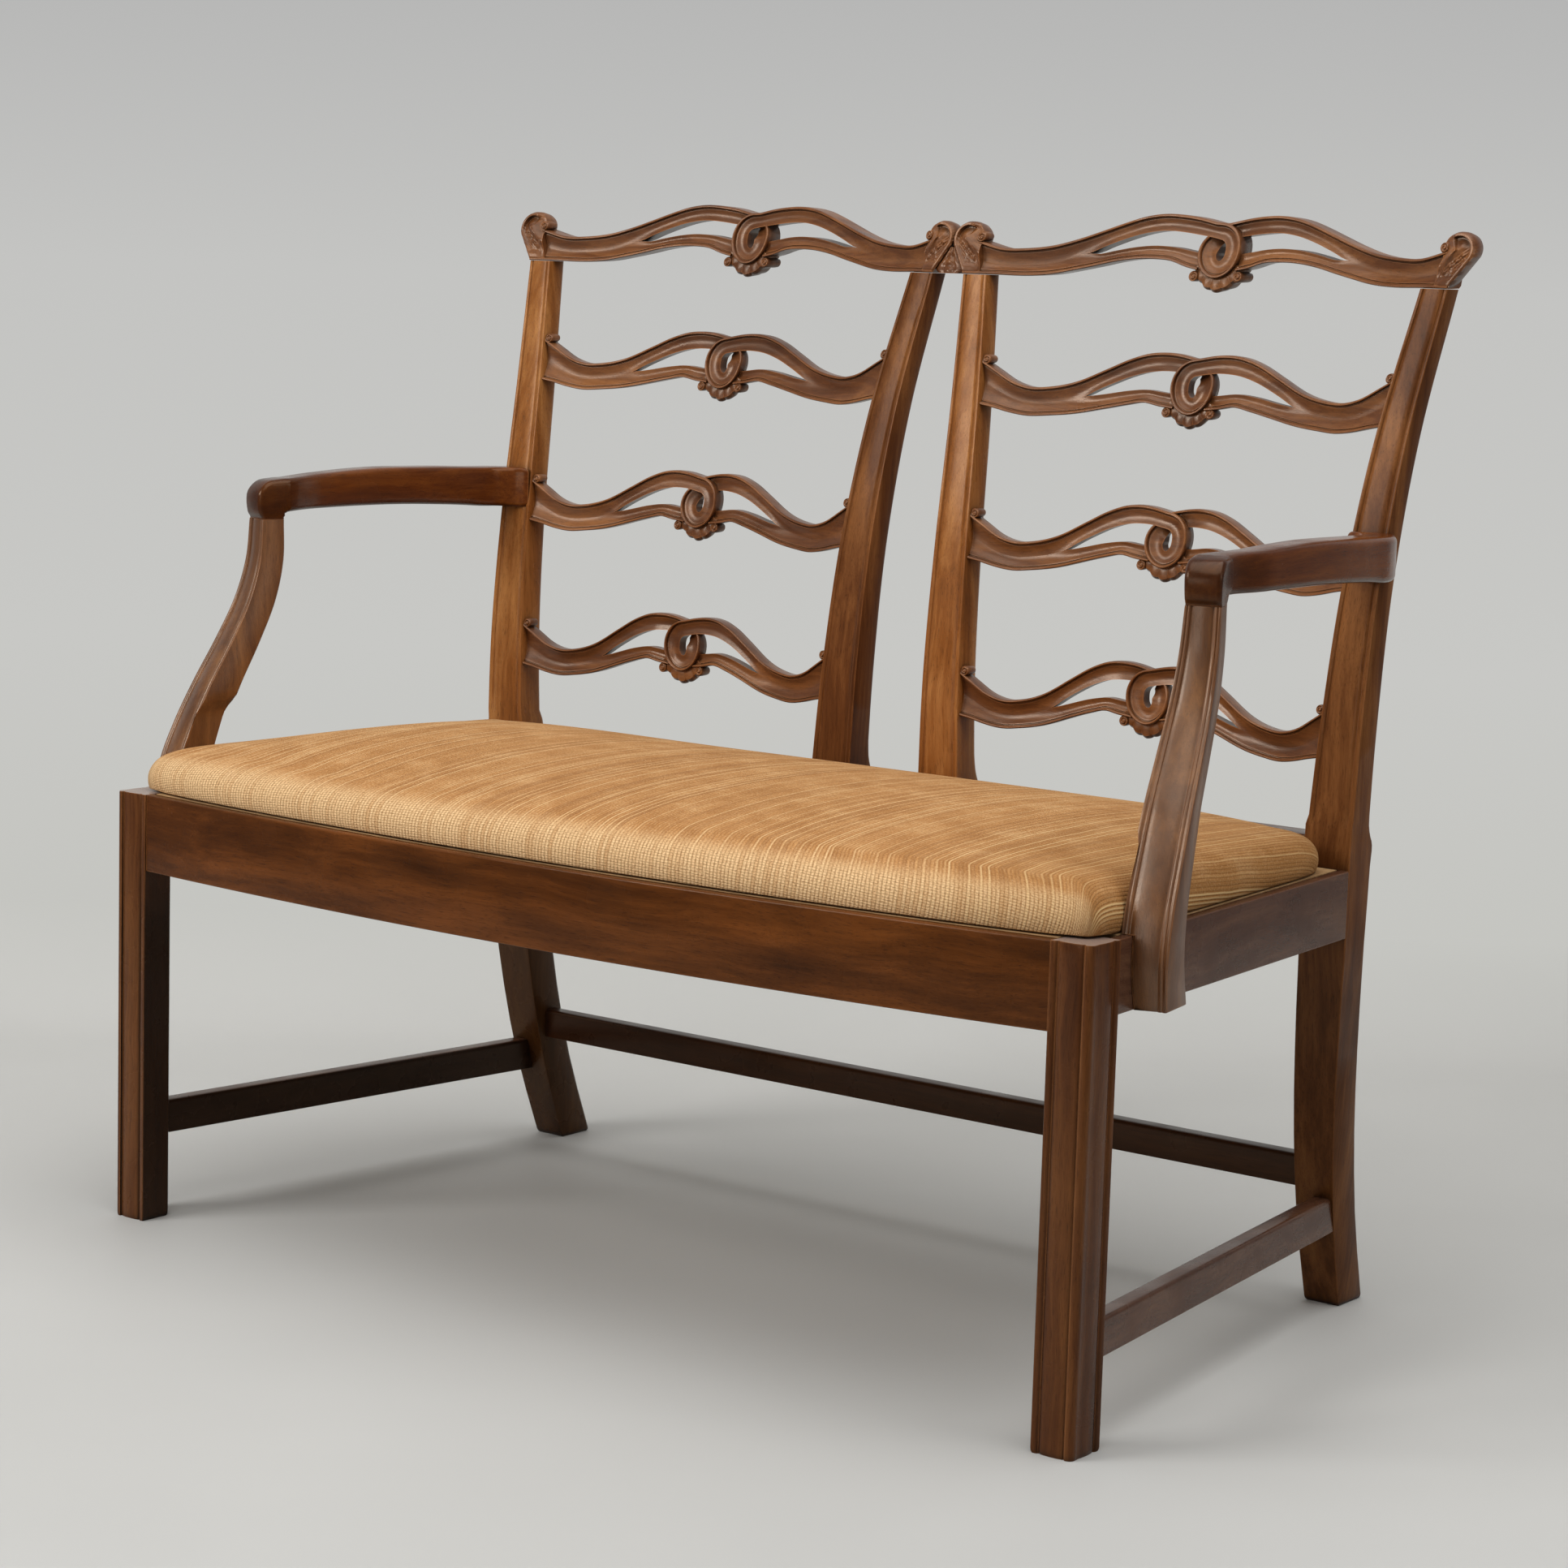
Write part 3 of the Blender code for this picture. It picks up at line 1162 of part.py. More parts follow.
def rear_seat_ledge():
    """The batten on the rear rail that carries the back of the drop-in frame."""
    half = side_rail_inner(SEAT_DEPTH - LEDGE_WIDTH) - 2 * FIT_GAP
    post_inner = rear_half_width() - POST_WIDTH - FIT_GAP
    rear = SEAT_DEPTH + (POST_DEPTH - REAR_RAIL_THICKNESS) / 2 - FIT_GAP
    high = SEAT_HEIGHT - REBATE_DEPTH
    half = min(half, post_inner)
    return block((-half, rear - LEDGE_WIDTH, high - LEDGE_THICKNESS), (half, rear, high))


# Drop-in seat

def seat_front_edge(x):
    return front_rail_face(x) + REBATE_LIP + SEAT_CLEARANCE


def seat_side_edge(y):
    return side_rail_face(y) - REBATE_LIP - SEAT_CLEARANCE


def seat_rear_edge():
    return SEAT_DEPTH + min((POST_DEPTH - REAR_RAIL_THICKNESS) / 2, 0.0) - SEAT_CLEARANCE


def seat_front_corner():
    """Half the width of the drop-in frame at its front, where it clears the front legs."""
    return FRONT_HALF_WIDTH - FRONT_LEG_WIDTH - SEAT_CLEARANCE


def frame_levels():
    return SEAT_HEIGHT - REBATE_DEPTH + FIT_GAP, SEAT_HEIGHT


def seat_frame_front():
    """The front bar of the drop-in frame, bowed outside and straight inside."""
    low, high = frame_levels()
    half = seat_front_corner()
    inner = seat_front_edge(half) + SEAT_BAR_WIDTH
    outline = [(half * (step / 6 - 1), seat_front_edge(half * (step / 6 - 1))) for step in range(13)]
    bar = polygon_prism(outline + [(half, inner), (-half, inner)], low, high)
    mortise = seat_tenon(True, FIT_GAP)
    middle = middle_bar_tenon(True, FIT_GAP)
    return cut(bar, mortise, mirrored(mortise), middle)


def seat_frame_rear():
    """The rear bar of the drop-in frame."""
    low, high = frame_levels()
    rear = seat_rear_edge()
    near = rear - SEAT_BAR_WIDTH
    points = [(-seat_side_edge(near), near), (seat_side_edge(near), near), (seat_side_edge(rear), rear),
              (-seat_side_edge(rear), rear)]
    mortise = seat_tenon(False, FIT_GAP)
    middle = middle_bar_tenon(False, FIT_GAP)
    return cut(polygon_prism(points, low, high), mortise, mirrored(mortise), middle)


def seat_side_limits():
    """Front and rear ends of the side bars, between the front bar and the rear bar."""
    front = seat_front_edge(seat_front_corner()) + SEAT_BAR_WIDTH + FIT_GAP
    rear = seat_rear_edge() - SEAT_BAR_WIDTH - FIT_GAP
    return front, rear


def seat_tenon_block(x, y, ahead, clearance):
    low, high = frame_levels()
    level = (low + high) / 2
    reach = SEAT_TENON_LENGTH + (TENON_END_GAP if clearance else 0.0)
    ends = sorted((y - ahead * CUT_OVERRUN, y + ahead * reach))
    half_width = SEAT_BAR_WIDTH / 4 + clearance
    half_height = SEAT_TENON_THICKNESS / 2 + clearance
    return block((x - half_width, ends[0], level - half_height),
                 (x + half_width, ends[1], level + half_height))


def seat_tenon(at_front, clearance):
    """A side bar's tenon in the front or rear bar of the drop-in frame."""
    front, rear = seat_side_limits()
    y, ahead = (front, -1) if at_front else (rear, 1)
    x = seat_side_edge(y) - SEAT_BAR_WIDTH * 0.75
    return seat_tenon_block(x, y, ahead, clearance)


def middle_bar_tenon(at_front, clearance):
    front, rear = seat_side_limits()
    y, ahead = (front, -1) if at_front else (rear, 1)
    return seat_tenon_block(0.0, y, ahead, clearance)


def seat_frame_side():
    """The right-hand side bar of the drop-in frame."""
    low, high = frame_levels()
    front, rear = seat_side_limits()
    outline = [(seat_side_edge(front), front), (seat_side_edge(rear), rear),
               (seat_side_edge(rear) - SEAT_BAR_WIDTH, rear), (seat_side_edge(front) - SEAT_BAR_WIDTH, front)]
    return joined(polygon_prism(outline, low, high), seat_tenon(True, 0.0), seat_tenon(False, 0.0))


def seat_frame_bar():
    """The middle bar of the drop-in frame."""
    low, high = frame_levels()
    front, rear = seat_side_limits()
    half = SEAT_BAR_WIDTH / 2
    bar = block((-half, front, low), (half, rear, high))
    return joined(bar, middle_bar_tenon(True, 0.0), middle_bar_tenon(False, 0.0))


def seat_webbing():
    """Woven bands tacked across the drop-in frame, as one flat net."""
    front, rear = seat_side_limits()
    near, far = front - WEBBING_LAP, rear + WEBBING_LAP
    rear_half = seat_side_edge(rear) - SEAT_BAR_WIDTH + WEBBING_LAP
    front_half = seat_side_edge(front) - SEAT_BAR_WIDTH + WEBBING_LAP

    def half_at(y):
        return blend(front_half, rear_half, (y - near) / (far - near))
    outline = [(-front_half, near), (front_half, near), (rear_half, far), (-rear_half, far)]
    holes = []
    row_gap = (far - near - WEBBING_LONG_BANDS * WEBBING_WIDTH) / (WEBBING_LONG_BANDS - 1)
    for row in range(WEBBING_LONG_BANDS - 1):
        low = near + WEBBING_WIDTH * (row + 1) + row_gap * row
        high = low + row_gap
        for column in range(WEBBING_CROSS_BANDS - 1):
            corners = []
            for y, side in ((low, 0), (low, 1), (high, 1), (high, 0)):
                half = half_at(y)
                gap = (2 * half - WEBBING_CROSS_BANDS * WEBBING_WIDTH) / (WEBBING_CROSS_BANDS - 1)
                start = -half + WEBBING_WIDTH * (column + 1) + gap * column
                corners.append((start + gap * side, y))
            holes.append(corners)
    mesh = plate([outline] + holes, WEBBING_THICKNESS)
    return moved(mesh, Matrix.Translation((0.0, 0.0, SEAT_HEIGHT + FIT_GAP + WEBBING_THICKNESS / 2)))


def pad_plan(across, deep, inset):
    """A place in the pad's plan: shares -1 to 1 across and 0 to 1 deep, drawn in from its edge."""
    front_half = seat_side_edge(FRONT_LEG_DEPTH)
    rear = seat_rear_edge() - inset
    side_y = blend(seat_front_edge(front_half), rear, deep)
    half = seat_side_edge(max(side_y, FRONT_LEG_DEPTH)) - inset
    corner = (abs(across) * abs(2 * deep - 1)) ** 14
    x = across * (half - PAD_CORNER_RADIUS * 0.3 * corner)
    front = seat_front_edge(min(abs(x), front_half)) + inset
    pull = PAD_CORNER_RADIUS * 0.3 * corner
    return x, blend(front + pull, rear - pull, deep)


def pad_shares(column, row):
    """Shares across and deep of a point of the pad's grid, closer together near the edges."""
    turn = pi * column / PAD_CELLS_ALONG
    across = blend(2 * column / PAD_CELLS_ALONG - 1, -cos(turn), 0.4)
    deep = blend(row / PAD_CELLS_DEEP, 0.5 - cos(pi * row / PAD_CELLS_DEEP) / 2, 0.6)
    return across, deep


def pad_crown(across, deep):
    """How full the pad stands at a place, 1 in the middle and 0 where its edge rolls over."""
    ends = (1 - abs(across) ** 5.0) ** 0.9
    return ends * (1 - abs(2 * deep - 1) ** 2.6) ** 0.7


def seat_pad():
    """The stuffed and covered pad: flat below, tucked in at the foot of a rolled edge, crowned."""
    base = SEAT_HEIGHT + WEBBING_THICKNESS + 2 * FIT_GAP
    shape = bmesh.new()
    top = []
    for row in range(PAD_CELLS_DEEP + 1):
        line = []
        for column in range(PAD_CELLS_ALONG + 1):
            shares = pad_shares(column, row)
            x, y = pad_plan(*shares, PAD_EDGE_ROLL)
            line.append(shape.verts.new((x, y, base + PAD_EDGE_HEIGHT + PAD_CROWN * pad_crown(*shares))))
        top.append(line)
    for near, far in zip(top, top[1:]):
        for index in range(PAD_CELLS_ALONG):
            shape.faces.new((near[index], near[index + 1], far[index + 1], far[index]))
    rim = [(column, 0) for column in range(PAD_CELLS_ALONG)]
    rim += [(PAD_CELLS_ALONG, row) for row in range(PAD_CELLS_DEEP)]
    rim += [(column, PAD_CELLS_DEEP) for column in range(PAD_CELLS_ALONG, 0, -1)]
    rim += [(0, row) for row in range(PAD_CELLS_DEEP, 0, -1)]
    upper = [top[row][column] for column, row in rim]
    profile = [(PAD_EDGE_ROLL * inward, PAD_EDGE_HEIGHT * rise) for inward, rise in PAD_EDGE_SHARES[1:]]
    for inset, rise in profile + [(PAD_TUCK, 0.0)]:
        lower = []
        for column, row in rim:
            x, y = pad_plan(*pad_shares(column, row), inset)
            lower.append(shape.verts.new((x, y, base + rise)))
        for index in range(len(rim)):
            after = (index + 1) % len(rim)
            shape.faces.new((upper[index], upper[after], lower[after], lower[index]))
        upper = lower
    shape.faces.new(upper)
    return mesh_from(shape)


# Screws

def screw_mesh(place, direction, length, clearance):
    """A screw with its head's face at a place, or with clearance the hole for it."""
    mesh = turned_pin(SCREW_RADIUS + clearance, SCREW_HEAD_RADIUS + clearance,
                      length + (TENON_END_GAP if clearance else 0.0), SCREW_HEAD_DEPTH + clearance)
    turn = Vector((0.0, 0.0, 1.0)).rotation_difference(direction).to_matrix().to_4x4()
    mesh = moved(mesh, Matrix.Translation(place) @ turn)
    if not clearance:
        return mesh
    mouth_radius = SCREW_HEAD_RADIUS + clearance
    mouth = turned_pin(mouth_radius, mouth_radius, CUT_OVERRUN, CUT_OVERRUN / 2)
    return joined(mesh, moved(mouth, Matrix.Translation(place - direction * CUT_OVERRUN) @ turn))


def support_screw(level, clearance):
    """A screw from inside the side rail into the arm support; level is 0 below, 1 above."""
    height = blend(SEAT_HEIGHT - SIDE_RAIL_HEIGHT + SUPPORT_SCREW_MARGIN,
                   SEAT_HEIGHT - REBATE_DEPTH - SUPPORT_SCREW_MARGIN, level)
    corners = support_corners((height - SEAT_HEIGHT + SIDE_RAIL_HEIGHT)
                              / (ARM_JOINT_HEIGHT - SEAT_HEIGHT + SIDE_RAIL_HEIGHT))
    y = (corners[0].y + corners[3].y) / 2
    place = Vector((side_rail_inner(y) + FIT_GAP, y, height))
    return screw_mesh(place, Vector((1.0, 0.0, 0.0)), SUPPORT_SCREW_LENGTH, clearance)


def arm_screw(clearance):
    """A screw through the back of the outer post into the arm's lap."""
    height = arm_level(1.0)
    x = CHAIR_CENTRE + post_half_spacing(height)
    y = post_front(height) + post_depth(height) - FIT_GAP
    length = post_depth(height) + ARM_LAP_LENGTH
    return screw_mesh(Vector((x, y, height)), Vector((0.0, -1.0, 0.0)), length, clearance)


def build():
    mahogany = material("mahogany", (0.105, 0.038, 0.016), 0.34)
    carved = material("carved_mahogany", (0.125, 0.048, 0.022), 0.36)
    beech = material("beech", (0.48, 0.33, 0.19), 0.6)
    jute = material("jute_webbing", (0.36, 0.26, 0.15), 0.9)
    velvet = material("ribbed_velvet", (0.52, 0.31, 0.12), 0.88)
    steel = material("steel", (0.42, 0.41, 0.40), 0.4, 1.0)

    settee = bpy.data.objects.new("settee_origin", None)
    drop_in = bpy.data.objects.new("drop_in_seat", None)
    for empty in (settee, drop_in):
        parts.objects.link(empty)
    drop_in.parent = settee

    leg = cut(front_leg(), front_rail_tenon(FIT_GAP), side_rail_tenon(FIT_GAP, False),
              side_stretcher_tenon(FIT_GAP, False))
    both_sides("front_leg", leg, mahogany, settee)
    screws = [support_screw(level, FIT_GAP) for level in (0, 1)]
    both_sides("seat_rail", cut(side_rail(), *screws), mahogany, settee)
    bearer_mortise = bearer_tenon(False, FIT_GAP)
    piece("seat_rail_front", cut(front_rail(), bearer_mortise), mahogany, settee)
    piece("seat_rail_rear", cut(rear_rail(), bearer_tenon(True, FIT_GAP)), mahogany, settee)

    outer_cutters = [side_rail_tenon(FIT_GAP, True), rear_rail_tenon(FIT_GAP),
                     side_stretcher_tenon(FIT_GAP, True), rear_stretcher_tenon(FIT_GAP),
                     arm_screw(FIT_GAP)] + ladder_mortises(1)
    both_sides("back_post_outer", outer_post(outer_cutters), mahogany, settee)
    both_sides("back_post_inner", inner_post(ladder_mortises(-1)), mahogany, settee)
    both_sides("stretcher", side_stretcher(), mahogany, settee)
    piece("stretcher_rear", rear_stretcher(), mahogany, settee)

    for chair, label in ((-1, "left"), (1, "right")):
        for row in LADDER_ROWS:
            piece(f"ladder_rail_{label}_{row[0]}", ladder_rail(row, chair), carved, settee)
        piece(f"crest_rail_{label}", crest_rail(chair, -chair), carved, settee)
    piece("crest_leaf_block", crest_leaf_block(), carved, settee)

    screws = [support_screw(level, FIT_GAP) for level in (0, 1)]
    both_sides("arm_support", cut(arm_support(), *screws), mahogany, settee)
    post_cutter = loft(post_rings(1, shoulder_top(), FIT_GAP))
    both_sides("arm", cut(arm(post_cutter), arm_screw(FIT_GAP)), mahogany, settee)
    for level, label in ((0, "lower"), (1, "upper")):
        screw = support_screw(level, 0.0)
        other = mirrored(screw)
        piece(f"support_screw_right_{label}", screw, steel, settee)
        piece(f"support_screw_left_{label}", other, steel, settee)
    both_sides("arm_screw", arm_screw(0.0), steel, settee)

    both_sides("corner_block_front", front_corner_block(), beech, settee)
    both_sides("corner_block_rear", rear_corner_block(), beech, settee)
    piece("seat_bearer", seat_bearer(), beech, settee)
    piece("rear_seat_ledge", rear_seat_ledge(), beech, settee)

    piece("seat_frame_front", seat_frame_front(), beech, drop_in)
    piece("seat_frame_rear", seat_frame_rear(), beech, drop_in)
    both_sides("seat_frame", seat_frame_side(), beech, drop_in)
    piece("seat_frame_bar", seat_frame_bar(), beech, drop_in)
    piece("seat_webbing", seat_webbing(), jute, drop_in)
    piece("seat_pad", seat_pad(), velvet, drop_in)
    centre_on_origin(settee)


def centre_on_origin(settee):
    """Moves the whole settee so that the middle of its depth is at y 0."""
    reach = [corner[1] for part in parts.objects if part.type == "MESH" for corner in part.bound_box]
    settee.location.y = -(min(reach) + max(reach)) / 2
    bpy.context.view_layer.update()


clear_scene()
parts = new_collection("double_chair_back_settee")
tools = new_collection("cutters")
build()
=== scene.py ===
"""A double chair-back settee in old polished mahogany, with a drop-in seat in striped ribbed velvet."""

from math import cos, pi, radians, sin, sqrt

import bmesh
import bpy
import numpy as np
from mathutils import Matrix, Vector


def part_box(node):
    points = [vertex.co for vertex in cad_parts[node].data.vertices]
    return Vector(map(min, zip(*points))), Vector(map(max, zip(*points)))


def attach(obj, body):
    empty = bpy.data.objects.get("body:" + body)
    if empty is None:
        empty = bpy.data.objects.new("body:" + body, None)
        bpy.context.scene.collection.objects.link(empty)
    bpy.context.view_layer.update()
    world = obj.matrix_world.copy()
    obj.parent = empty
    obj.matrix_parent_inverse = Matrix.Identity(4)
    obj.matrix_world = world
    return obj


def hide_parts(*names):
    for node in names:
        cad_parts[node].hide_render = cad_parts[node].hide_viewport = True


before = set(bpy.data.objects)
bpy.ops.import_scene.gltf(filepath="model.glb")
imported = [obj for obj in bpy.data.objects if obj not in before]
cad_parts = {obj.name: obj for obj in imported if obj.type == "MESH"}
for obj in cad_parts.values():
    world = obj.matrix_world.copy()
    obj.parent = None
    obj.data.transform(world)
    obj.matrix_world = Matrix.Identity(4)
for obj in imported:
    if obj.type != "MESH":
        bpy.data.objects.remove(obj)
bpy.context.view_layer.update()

# The settee is drawn from its front legs' line backwards; this is where that line stands
FRONT_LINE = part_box("front_leg_right")[0].y

# Sizes taken over from the solid model, in metres
FIT = 0.0003
HALF_WIDTH = 0.564
SEAT_DEPTH = 0.490
SEAT_HEIGHT = 0.424
RAIL_SETBACK = 0.0015
FRONT_RAIL_HEIGHT = 0.075
FRONT_RAIL_THICKNESS = 0.026
FRONT_RAIL_BOW = 0.034
SIDE_RAIL_HEIGHT = 0.062
SIDE_RAIL_THICKNESS = 0.022
REAR_RAIL_HEIGHT = 0.072
REAR_RAIL_RISE = 0.028
REAR_RAIL_THICKNESS = 0.033
REBATE_DEPTH = 0.020
REBATE_LIP = 0.0105
LEG_WIDTH = 0.040
LEG_DEPTH = 0.043
LEG_CHAMFER = 0.010
CHAIR_CENTRE = 0.2825
POST_SPACING = 0.216
POST_SPLAY = 0.0345
POST_RAKE = 0.082
POST_WIDTH = 0.048
POST_TOP_WIDTH = 0.0275
POST_DEPTH = 0.036
POST_TOP_DEPTH = 0.027
POST_BACK_ROUND = 0.007
CREST_LEVEL = 0.9732
CREST_SEAT = 0.0263
POST_TOP = CREST_LEVEL - CREST_SEAT - FIT
REAR_LEG_DEPTH = 0.040
SHOULDER_RISE = 0.021
REAR_FOOT_WIDTH = 0.037
REAR_FOOT_DEPTH = 0.047
REAR_FOOT_SWEEP = 0.068
REAR_FOOT_CANT = 0.024
REAR_LEG_ROUND = 0.006
STRETCHER_THICKNESS = 0.019
# The stretchers' middle height and tallness
SIDE_STRETCHER = (0.0945, 0.033)
REAR_STRETCHER = (0.130, 0.030)
# Shares of the posts' splay and rake on the way up, and of the rear feet's sweep on the way down
SPLAY = (0.0, 0.145, 0.28, 0.53, 1.0)
RAKE = (0.0, 0.07, 0.26, 0.585, 1.0)
SWEEP = (0.0, 0.11, 0.28, 0.565, 1.0)

# Ribbon rails: half a rail from its loop to the post, as shares of its half length and its rise
LADDER_ARCH = (
    (-0.03, 0.815, 0.37), (0.03, 0.90, 0.43), (0.09, 0.97, 0.49), (0.15, 1.0, 0.50), (0.22, 0.965, 0.46),
    (0.31, 0.80, 0.31), (0.42, 0.49, 0.03), (0.56, 0.11, -0.36), (0.68, -0.055, -0.49), (0.78, -0.08, -0.53),
    (0.87, 0.08, -0.44), (0.94, 0.34, -0.25), (1.0, 0.57, -0.05))
LADDER_BAND = (
    (0.08, -0.12, -0.50), (0.15, -0.07, -0.45), (0.22, -0.02, -0.37), (0.31, -0.07, -0.46),
    (0.42, -0.19, -0.60), (0.56, -0.33, -0.77), (0.68, -0.46, -0.85), (0.78, -0.50, -0.885),
    (0.87, -0.41, -0.81), (0.94, -0.22, -0.71), (1.0, -0.02, -0.64))
CREST_ARCH = (
    (-0.03, 0.74, 0.33), (0.03, 0.81, 0.40), (0.09, 0.905, 0.465), (0.16, 0.975, 0.53), (0.24, 1.0, 0.56),
    (0.32, 0.92, 0.48), (0.40, 0.74, 0.31), (0.48, 0.53, 0.09), (0.57, 0.30, -0.15), (0.67, 0.10, -0.37),
    (0.77, 0.01, -0.45), (0.87, 0.01, -0.46), (0.94, 0.14, -0.38), (1.0, 0.27, -0.27))
CREST_BAND = (
    (0.07, -0.02, -0.46), (0.13, 0.055, -0.37), (0.19, 0.13, -0.23), (0.26, 0.165, -0.19),
    (0.34, 0.12, -0.21), (0.43, 0.0, -0.31), (0.50, -0.11, -0.43), (0.57, -0.12, -0.54), (0.67, -0.34, -0.68),
    (0.77, -0.42, -0.73), (0.87, -0.43, -0.7205), (0.94, -0.35, -0.7205), (1.0, -0.25, -0.7205))
DROOP = (0.0, 0.0, 0.0, 0.1, 0.3, 0.58, 0.82, 0.95, 1.0, 1.0, 1.0)
LOOP_RADIUS = 0.0255
# Around a loop in degrees from its top: the ribbon's outer and inner radius in metres, how far it sinks
LOOP_TURN = (
    (0, 0.0272, 0.0108, 0.0), (30, 0.0258, 0.0082, 0.0), (60, 0.0240, 0.0060, 0.0),
    (100, 0.0228, 0.0052, 0.0), (150, 0.0244, 0.0072, 0.0), (185, 0.0255, 0.0094, 0.0),
    (220, 0.0244, 0.0066, 0.0), (255, 0.0232, 0.0042, 0.0004), (280, 0.0230, 0.0040, 0.0016),
    (300, 0.0228, 0.0046, 0.0032), (325, 0.0222, 0.0062, 0.0056), (350, 0.0216, 0.0082, 0.0080))

# Each ladder rail: height at its loop, bow backwards, droop of its ends, side whose ribbon lies on top
LADDER_ROWS = {"lower": (0.5533, 0.020, 0.009, 1), "middle": (0.7005, 0.0225, 0.0045, -1),
               "upper": (0.8437, 0.026, 0.0, 1)}
LADDER_RISE = 0.035
LADDER_THICKNESS = 0.016
LADDER_SETBACK = 0.005
LADDER_BEAD = 0.0028
CREST_HALF = 0.26425
CREST_RISE = 0.0365
CREST_THICKNESS = 0.025
CREST_BOW = 0.036
CREST_BACK = 0.021
CREST_BEAD = 0.0030
EAR_RADIUS = 0.0165
EAR_MIDDLE = 0.0085
# Shares of a rail's half between which its two ribbons become one
MERGE_START, MERGE_END = 0.44, 0.62

ARM_JOINT = 0.684
ARM_UNDERSIDE = 0.691
ARM_THICKNESS = 0.038
ARM_WIDTH = 0.035
KNUCKLE_RADIUS = 0.006
ARM_NECK = 0.0335
ARM_SHARES = (0.22, 0.36, 0.53, 0.7, 0.87)
ARM_BOW = 0.007
LAP_STANDOFF = 0.0052
LAP_SPREAD = 0.020
LAP_STEP = 0.0095
# Down the arm's front turn: share of the quarter turn, swell of its thickness
ARM_TURN = ((0.0, 1.0), (0.1, 1.10), (0.37, 1.28), (0.61, 1.25), (0.83, 1.07), (1.0, 1.0))
# Back along the arm: its thickness, and the height of its middle, as shares of ARM_THICKNESS
ARM_FULLNESS = (0.816, 0.93, 1.0, 1.03, 1.08)
ARM_LEVELS = (0.408, 0.50, 0.55, 0.52, 0.447)
# Round the outer post: steps behind its face, flare outwards, share of the post's width that is covered
ARM_LAP = ((-3.2, 1.0, 0.27), (-1.2, 0.65, 0.6), (-0.26, 0.33, 1.0), (0.1, 0.25, 0.5), (1.0, 0.0, 0.5))
# Up the support: how far it has drawn in, swept back and narrowed, as shares of the whole
SUPPORT_LEAN = (0.12, 0.02, 0.03, 0.16, 0.37, 0.61, 0.82, 0.95, 1.0)
SUPPORT_SWEEP = (0.06, 0.0, 0.06, 0.22, 0.42, 0.645, 0.845, 0.965, 1.0)
SUPPORT_NARROWING = (0.0, 0.0, 0.03, 0.09, 0.2, 0.37, 0.58, 0.8, 1.0)
SUPPORT_SETBACK = 0.0724
SUPPORT_CORNER = 0.0035
SUPPORT_STANDOUT = 0.0310
SUPPORT_DRAWN_IN = 0.0270
SUPPORT_SWEPT_BACK = 0.1020
SUPPORT_CLEARING = 0.030
# At the support's foot and top: degrees that it is turned, width, depth
SUPPORT_TURN = (10, 18)
SUPPORT_WIDTH = (0.0443, 0.0310)
SUPPORT_DEPTH = (0.0450, 0.0245)
STRETCHER_INSET = 0.0018

SEAT_GAP = 0.0015
PAD_CROWN = 0.0125
PAD_ROLL = 0.036
PAD_EDGE = 0.0415
# From the pad's top round its edge to the tuck in the rebate: distance in from the edge, height
PAD_PROFILE = ((PAD_ROLL, PAD_EDGE), (0.0250, 0.0392), (0.0150, 0.0355), (0.0070, 0.0300), (0.0018, 0.0226),
               (-0.0008, 0.0145), (-0.0010, 0.0065), (0.0002, 0.0), (0.0015, -0.0004))
PLUMP_CAP = 0.012
PLUMP_SHARE = 0.4
PLUMP_STEPS = 20
PAD_COLUMNS = 108
PAD_ROWS = 46
BAR_WIDTH = 0.045
LONG_BANDS = 4
CROSS_BANDS = 9
BAND_WIDTH = 0.050
BAND_THICKNESS = 0.001
WEBBING_THICKNESS = 0.0015
BAND_HOLD = 0.022
YARN_PITCH = 0.0022
VELVET_COLUMN = 0.0037
VELVET_RIB = 0.0024

UPRIGHT = Vector((0.0, 0.0, 1.0))
SIDEWAYS = Vector((1.0, 0.0, 0.0))
VIEW_YAW = 0.651
VIEW_PITCH = 0.14
VIEW_ROLL = 0.0302
VIEW_LENS = 85.25
VIEWPOINT = (2.1205, FRONT_LINE - 2.4526, 0.9544)
FOLD_DISTANCE = 4.75
FOLD_RADIUS = 0.35


def blend(start, end, share):
    return start + (end - start) * share


def eased(values, at, places=None, steady=False):
    """A smooth curve through a table's values, evenly spaced from 0 to 1 unless places are given.

    A steady curve never swings past the values that it runs between."""
    values = np.asarray(values, float)
    places = np.linspace(0, 1, len(values)) if places is None else np.asarray(places, float)
    at = np.clip(np.asarray(at, float), places[0], places[-1])
    slopes = np.gradient(values, places)
    if steady:
        runs = np.diff(values) / np.diff(places)
        least = np.minimum(np.abs(runs[:-1]), np.abs(runs[1:])) * (runs[:-1] * runs[1:] > 0)
        slopes[1:-1] = np.clip(slopes[1:-1], -2 * least, 2 * least)
        slopes[0], slopes[-1] = runs[0], runs[-1]
    index = np.clip(np.searchsorted(places, at) - 1, 0, len(places) - 2)
    span = places[index + 1] - places[index]
    t = (at - places[index]) / span
    here, there = values[index], values[index + 1]
    leave, arrive = slopes[index] * span, slopes[index + 1] * span
    return here + t * leave + t * t * (3 * (there - here) - 2 * leave - arrive) \
        + t ** 3 * (2 * (here - there) + leave + arrive)


def ramp(at, start, end):
    """0 before start, 1 after end, smooth between."""
    t = np.clip((np.asarray(at, float) - start) / (end - start), 0, 1)
    return t * t * (3 - 2 * t)


# The settee's own lines

def rear_half_width():
    return CHAIR_CENTRE + POST_SPACING + POST_WIDTH / 2


def side_rail_face(y):
    return blend(HALF_WIDTH - RAIL_SETBACK, rear_half_width(), (y - LEG_DEPTH) / (SEAT_DEPTH - LEG_DEPTH))


